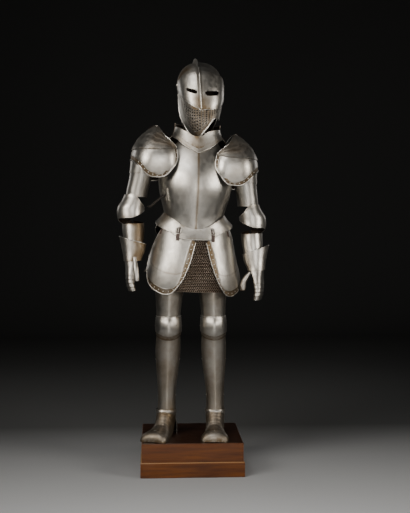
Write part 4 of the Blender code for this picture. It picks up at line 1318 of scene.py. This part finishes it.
def cannons(name, side):
    return dict(
        upper=plate(f"upper_cannon_{name}", ARM, TUBE, (1.262, 1.392), (80, 30), upper[name],
                    side=side),
        couter=plate(f"couter_{name}", COUTER, (-75, 175), (couter_low, couter_high), (64, 30),
                     elbow[name], side=side, out=ELBOW_EASE[name]),
        lower=plate(f"lower_cannon_{name}", FOREARM, TUBE, (0.985, cannon_high), (72, 36),
                    lower[name], side=side, out=WRIST_EASE[name],
                    age=brown_inside(FOREARM_BROWN[name])),
    )


print("cannons can be drawn")

# %% [markdown]
# ## Gauntlets
# A gauntlet has a flared cuff with a slanting edge, a plate over the back of the hand, finger
# plates that lie on each other like scales, and a thumb plate. The scales are steps in one mesh,
# because the hand hangs straight. The right thumb lies closer to the hand in the photograph.

# %% Gauntlets
CUFF = Form("z x y half reach front back", [
    (1.075, 0.282, -0.026, 0.067, 0.061, 0.064, 0.062),
    (1.04, 0.282, -0.036, 0.06, 0.056, 0.058, 0.056),
    (1.0, 0.285, -0.048, 0.051, 0.049, 0.05, 0.048),
    (0.97, 0.291, -0.059, 0.0418, 0.0403, 0.0448, 0.0438),
    (0.955, 0.292, -0.064, 0.0403, 0.0378, 0.0453, 0.0443),
])
HAND = Form("z x y half reach front back", [
    (0.985, 0.29, -0.054, 0.0375, 0.0365, 0.0375, 0.037),
    (0.955, 0.292, -0.064, 0.033, 0.03, 0.04, 0.039),
    (0.925, 0.298, -0.074, 0.026, 0.021, 0.044, 0.042),
    (0.885, 0.304, -0.084, 0.022, 0.017, 0.046, 0.044),
    (0.86, 0.304, -0.09, 0.02, 0.015, 0.044, 0.042),
    (0.838, 0.3, -0.095, 0.0195, 0.0155, 0.04, 0.038),
    (0.824, 0.296, -0.098, 0.0165, 0.013, 0.034, 0.033),
], square=2.3)
THUMB = Form("z x y half front back", [
    (0.985, 0.276, -0.069, 0.01, 0.01, 0.01),
    (0.962, 0.2728, -0.0768, 0.0104, 0.011, 0.0092),
    (0.94, 0.2556, -0.0876, 0.0138, 0.0128, 0.0124),
    (0.905, 0.236, -0.096, 0.014, 0.013, 0.013),
    (0.885, 0.233, -0.098, 0.014, 0.0125, 0.0125),
    (0.87, 0.233, -0.099, 0.012, 0.011, 0.011),
])
SCALES = 5
close_rows = [[row[0], 0.284 + 0.10 * (row[1] - 0.279), row[2] - 0.040, 0.85 * row[3], *row[4:]]
              for row in THUMB.table]
thumbs = {"left": THUMB, "right": Form("z x y half front back", close_rows)}
cuff_high = through((0, 1.060), (0.25, 1.036), (0.5, 1.056), (0.75, 1.078), (1, 1.062))


def gauntlet(name, side):
    here = dict(place=hand[name], side=side)
    return dict(
        cuff=plate(f"gauntlet_cuff_{name}", CUFF, TUBE, (0.962, cuff_high), (80, 24), **here,
                   age=brown_inside(CUFF_BROWN[name])),
        hand=plate(f"hand_plate_{name}", HAND, (-25, 175), (0.902, 0.984), (48, 20), **here,
                   out=LAYER),
        fingers=plate(f"finger_plates_{name}", HAND, (-50, 175), (0.826, 0.915), (56, 36), **here,
                      swell=lambda share, level: 0.0018 * (1 - (level * SCALES) % 1),
                      age=lambda share, level: 0.7 * smooth((level * SCALES) % 1, 0.75, 1.0)),
        thumb=plate(f"thumb_plate_{name}", thumbs[name], (-60, 95), (0.872, 0.982), (24, 28),
                    **here),
    )


print("a hand has", SCALES, "rows of finger plates")

# %% [markdown]
# ## Both arms
# The left arm is the mirror image of the right one, but hangs a little lower, so the same three
# functions draw both. Rims and rivets come last, because they need the finished plates.

# %% Arms
WING_INSET, WING_PITCH, WING_RIVET = 0.0115, 0.024, 0.0034
for name, side in SIDES.items():
    arm = {**pauldron(name, side), **cannons(name, side), **gauntlet(name, side)}
    rim(arm["wing"], WING_EDGES, 0.0032)
    rim(arm["top"], ["high"], 0.0022)
    bead(arm["wing"], WING_EDGES, 0.021)
    rim(arm["couter"], ["low"], 0.0014)
    rim(arm["couter"], ["high"], 0.0014)
    rim(arm["cuff"], ["high"], 0.0022)
    rivets(arm["wing"], "start", WING_INSET, WING_PITCH, WING_RIVET)
    rivets(arm["wing"], "low", WING_INSET, WING_PITCH, WING_RIVET, first=0.04, last=0.30)
    rivets(arm["wing"], "end", WING_INSET, WING_PITCH, WING_RIVET)
    in_a_row = [(0.70, 0.90), (0.70, 0.78), (0.70, 0.66)]
    rivets_at(arm["upper"], "rivets_shoulder", in_a_row, 0.0030, dark_iron)
    rivets_at(arm["cuff"], "rivet_hinge", [(0.72, 0.5)], 0.0032)
print("arms drawn")

# %% [markdown]
# ## Legs
# The cuisse covers the front of the thigh, the poleyn and its lower lame the knee, and two halves
# of a greave close round the shin. The greave halves are patches of the same form as the cuisse,
# so the leg keeps one line from hip to ankle.

# %% Cuisses, poleyns and greaves
LEG = Form("z x y half front back", [
    (1.02, 0.096, -0.002, 0.079, 0.084, 0.08), (0.95, 0.099, -0.004, 0.075, 0.083, 0.077),
    (0.85, 0.103, -0.008, 0.067, 0.079, 0.069), (0.8, 0.104, -0.01, 0.062, 0.075, 0.064),
    (0.74, 0.106, -0.012, 0.056, 0.067, 0.058), (0.7, 0.107, -0.013, 0.0545, 0.064, 0.055),
    (0.64, 0.107, -0.01, 0.054, 0.059, 0.054), (0.6, 0.108, -0.004, 0.057, 0.057, 0.059),
    (0.56, 0.109, 0.002, 0.058, 0.056, 0.064), (0.52, 0.11, 0.006, 0.056, 0.055, 0.067),
    (0.45, 0.112, 0.008, 0.05, 0.051, 0.061), (0.4, 0.114, 0.007, 0.0445, 0.048, 0.054),
    (0.35, 0.115, 0.003, 0.041, 0.045, 0.048), (0.31, 0.1155, -0.001, 0.04, 0.044, 0.045),
    (0.275, 0.1155, -0.004, 0.042, 0.046, 0.046), (0.25, 0.1155, -0.006, 0.045, 0.05, 0.049),
], keel=0.003)
KNEE = Form("z x y half front back keel", [
    (0.745, 0.106, -0.012, 0.0575, 0.0685, 0.059, 0.003),
    (0.72, 0.1065, -0.013, 0.058, 0.069, 0.058, 0.004),
    (0.695, 0.107, -0.013, 0.061, 0.077, 0.06, 0.007),
    (0.67, 0.107, -0.013, 0.062, 0.079, 0.06, 0.008),
    (0.645, 0.107, -0.012, 0.061, 0.076, 0.059, 0.007),
    (0.625, 0.1075, -0.01, 0.0595, 0.069, 0.06, 0.006),
    (0.6, 0.108, -0.005, 0.0595, 0.062, 0.061, 0.005),
], square=2.3)
GREAVE_AGE = 0.4
standing = Matrix.Identity(4)


def leg_plates(name, side):
    here = dict(place=standing, side=side)
    # The darkened strips along the lower edges of the poleyn and its lame are painted shade: the dark
    # line under the knee plate and its shadow on the greave.
    return dict(
        cuisse=plate(f"cuisse_{name}", LEG, (-120, 120), (0.700, 0.985), (56, 50), **here, age=0.2),
        poleyn=plate(f"poleyn_{name}", KNEE, (-105, 105), (arch(0.652, 0.640, 0.628), 0.722),
                     (64, 30), **here, border=(("low",), 0.004, 0.8)),
        lame=plate(f"poleyn_lame_{name}", KNEE, (-90, 90), (arch(0.634, 0.609), 0.652), (48, 10),
                   **here, out=-LAYER - 0.0003, age=0.55, border=(("low",), 0.005, 0.6)),
        front=plate(f"greave_front_{name}", LEG, (-89.6, 89.6), (0.270, 0.628), (48, 70), **here,
                    age=GREAVE_AGE),
        back=plate(f"greave_back_{name}", LEG, (90.4, 269.6), (0.261, 0.615), (40, 60), **here,
                   age=GREAVE_AGE),
    )


print("leg plates can be drawn")

# %% [markdown]
# ## Sabatons
# The foot's rings turn from upright at the toe to level at the ankle, so the form bends like the
# foot does. The toe cap lies over a row of lames, drawn as steps that die out towards both
# borders and the ankle.

# %% Sabatons
FOOT = Form("station y z pitch half front back", [
    (0.0, -0.2075, PLINTH_HEIGHT, 90, 0.046, 0.002, 0.02),
    (0.004, -0.206, PLINTH_HEIGHT, 90, 0.053, 0.02, 0.02),
    (0.014, -0.195, PLINTH_HEIGHT, 90, 0.0595, 0.035, 0.02),
    (0.045, -0.165, PLINTH_HEIGHT, 90, 0.0605, 0.042, 0.02),
    (0.085, -0.125, PLINTH_HEIGHT, 88, 0.053, 0.048, 0.02),
    (0.12, -0.092, PLINTH_HEIGHT, 82, 0.046, 0.06, 0.022),
    (0.15, -0.062, PLINTH_HEIGHT + 0.002, 68, 0.043, 0.0735, 0.03),
    (0.175, -0.04, PLINTH_HEIGHT + 0.016, 60, 0.042, 0.0775, 0.045),
    (0.205, -0.02, PLINTH_HEIGHT + 0.048, 44, 0.042, 0.0693, 0.052),
    (0.24, -0.008, PLINTH_HEIGHT + 0.090, 21, 0.044, 0.056, 0.05),
    (0.262, -0.006, PLINTH_HEIGHT + 0.112, 6, 0.0475, 0.052, 0.05),
    (0.271, -0.006, PLINTH_HEIGHT + 0.121, 0, 0.0475, 0.05, 0.05),
], square=2.4)
HEEL = Form("z y half front back", [
    (PLINTH_HEIGHT, 0.004, 0.041, 0.05, 0.068),
    (PLINTH_HEIGHT + 0.030, 0.004, 0.042, 0.05, 0.07),
    (PLINTH_HEIGHT + 0.060, 0.0, 0.04, 0.05, 0.056),
    (PLINTH_HEIGHT + 0.090, -0.004, 0.039, 0.05, 0.045),
    (PLINTH_HEIGHT + 0.110, -0.006, 0.0385, 0.05, 0.0425),
])
FOOT_LAMES = 8


def foot_steps(share, level):
    step = 1 - (level * FOOT_LAMES) % 1
    near_ankle = smooth(0.98 - level, 0, 0.05)
    return 0.0012 * step * near_ankle * smooth(np.minimum(share, 1 - share), 0.0, 0.06)


def sabaton(name, side):
    here = dict(place=foot[name], side=side)
    return dict(
        toe=plate(f"sabaton_toe_{name}", FOOT, (-90, 90), (0, 0.052),
                  (48, [0, 0.04, 0.08, 0.16, 0.3, 0.45, 0.65, 0.85, 1]), **here, out=LAYER, age=0.5),
        instep=plate(f"sabaton_{name}", FOOT, (-90, 90), (0.040, 0.271), (44, 60), **here,
                     swell=foot_steps, age=lambda share, level: 0.72 * smooth(0.92 - level, 0, 0.1)),
        heel=plate(f"sabaton_heel_{name}", HEEL, (100, 260),
                   (PLINTH_HEIGHT, PLINTH_HEIGHT + 0.108), (32, 20), **here),
    )


print("a sabaton has", FOOT_LAMES, "lames")

# %% [markdown]
# ## Both legs, with their straps
# Two straps close each cuisse behind the thigh and one holds the poleyn. They are out of sight
# in the photograph, so their height is a guess. They are carried by the plates they hold and stand
# for no solid of their own.

# %% Legs
STRAP_INSIDE = -0.0030


def back_strap(node, form, around, low, high, side, name):
    plate(node, form, around, (low, high), (30, 3), standing, side=side, out=STRAP_INSIDE,
          wall=LEATHER, finish=leather, slot="leather", stands_for=[], name=name)


for name, side in SIDES.items():
    leg = {**leg_plates(name, side), **sabaton(name, side)}
    rim(leg["poleyn"], ["high"], 0.0020)
    rim(leg["front"], ["low"], 0.0016)
    studs = [(0.03, 0.68), (0.97, 0.68), (0.03, 0.2), (0.97, 0.2)]
    knee_rivets = [(0.06, 0.35), (0.94, 0.35), (0.06, 0.85), (0.94, 0.85)]
    rivets_at(leg["front"], "studs", studs, 0.0042)
    rivets_at(leg["poleyn"], "rivets", knee_rivets, 0.0036)
    rivets_at(leg["toe"], "rivet", [(0.5, 0.75)], 0.0026)
    for i, height in enumerate((0.905, 0.765)):
        strap_name = f"thigh_strap_{name}_{i + 1}"
        back_strap(f"cuisse_{name}", LEG, (113, 247), height, height + 0.022, side, strap_name)
    back_strap(f"poleyn_{name}", KNEE, (98, 262), 0.662, 0.680, side, f"knee_strap_{name}")
print("legs drawn")

# %% [markdown]
# ## Plinth, lance rest and shoulder straps
# These solids are already true in shape, so they keep their own mesh and only get a finish.

# %% Plinth, lance rest, straps
own_finish = {"plinth": wood, "lance_rest_bracket": rim_steel, "lance_rest_arm": dark_iron,
              "shoulder_strap_left": leather, "shoulder_strap_right": leather}
for node, finish in own_finish.items():
    thing = frame["nodes"][node]
    thing.data.materials.clear()
    thing.data.materials.append(finish)
print("dressed", len(own_finish), "solids")

# %% [markdown]
# ## The hall
# The suit stood in a dark hall on a pale floor. A flat floor would end in a hard horizon, so the
# floor curves up into a wall far behind, and its colour is painted from pale to dark on the way:
# painted shade for the lamps' light falling off with distance.

# %% Floor and wall
WALL_FOOT, WALL_BEND = 5.2, 3.0
turns = np.linspace(0.1, math.pi / 2, 12)
bend = [(WALL_FOOT + WALL_BEND * math.sin(t), WALL_BEND - WALL_BEND * math.cos(t)) for t in turns]
bend = [(-8.0, 0.0), (WALL_FOOT, 0.0)] + bend + [(WALL_FOOT + WALL_BEND, 9.0)]
corners = [(x, y, z) for y, z in bend for x in (-9, 9)]
strips = [(2 * i, 2 * i + 1, 2 * i + 3, 2 * i + 2) for i in range(len(bend) - 1)]
floor_data = bpy.data.meshes.new("floor")
floor_data.from_pydata(corners, [], strips)
floor_data.shade_smooth()
floor = bpy.data.objects.new("floor", floor_data)
bpy.context.scene.collection.objects.link(floor)
floor_finish, tree, shader = shader_of("pale_floor")
depth = add(tree, "ShaderNodeSeparateXYZ", {"Vector": object_place(tree)}).outputs["Y"]
# Painted shade: the floor's colour falls from pale in front to near black behind, as the lamps' light
# falls off.
tone = blended(tree, between(tree, depth, -1.4, 0.9), (0.66, 0.66, 0.66), (0.085, 0.085, 0.083))
tree.links.new(tone, shader.inputs["Base Color"])
shader.inputs["Roughness"].default_value = 0.8
shader.inputs["Specular IOR Level"].default_value = 0.0
floor.data.materials.append(floor_finish)
print("the wall stands", round(WALL_FOOT + WALL_BEND, 1), "m behind the suit")

# %% [markdown]
# ## Lamps
# Steel shows its shape only by what it mirrors, so the lamps are large: one each side draws the
# two long highlights down every tube, and weaker ones above, in front and below fill the gaps.
# Two more behind keep the back readable, and one lights only the floor before the plinth.

# %% Lamps
SUIT_SPREAD, FLOOR_SPREAD = math.radians(105), math.radians(70)
WARM = (1, 0.970, 0.920)


def lamp(name, place, size, watts, towards, colour=(1, 1, 1), spread=SUIT_SPREAD):
    light = bpy.data.lights.new(name, "AREA")
    light.shape, light.size, light.size_y = "RECTANGLE", *size
    light.energy, light.color, light.spread = watts, colour, spread
    thing = bpy.data.objects.new(name, light)
    thing.location = place
    thing.rotation_euler = (Vector(towards) - Vector(place)).to_track_quat("-Z", "Y").to_euler()
    thing.visible_camera = False
    bpy.context.scene.collection.objects.link(thing)
    return thing


lamps = [
    lamp("lamp_left", (-2.1, -2.0, 2.4), (1.7, 1.5), 25, (0, 0, 1.5), WARM),
    lamp("lamp_right", (2.4, -1.6, 1.9), (1.2, 1.4), 15.5, (0, 0, 1.45), WARM),
    lamp("lamp_top", (-0.9, -1.6, 3.6), (1.2, 1.0), 9, (0, 0, 1.3)),
    lamp("lamp_front", (0.5, -4.4, 2.2), (2.0, 1.4), 12, (0, 0, 1.4)),
    lamp("lamp_low", (0.2, -3.9, 0.95), (2.6, 0.9), 9, (0, 0, 1.4), (1, 0.97, 0.93)),
    lamp("lamp_behind_left", (-3.0, 3.2, 2.2), (1.2, 1.2), 3.2, (0, 0, 1.2)),
    lamp("lamp_behind_right", (3.0, 3.2, 2.2), (1.2, 1.2), 2.6, (0, 0, 1.2)),
]
bounce = lamp("lamp_on_floor", (0, -3.5, 2.8), (2.0, 1.0), 40, (0, -2.9, 0), spread=FLOOR_SPREAD)
world = bpy.data.worlds.new("hall")
world.use_nodes = True
world.node_tree.nodes["Background"].inputs["Color"].default_value = (0.008, 0.008, 0.008, 1)
bpy.context.scene.world = world
print(len(lamps) + 1, "lamps hang")
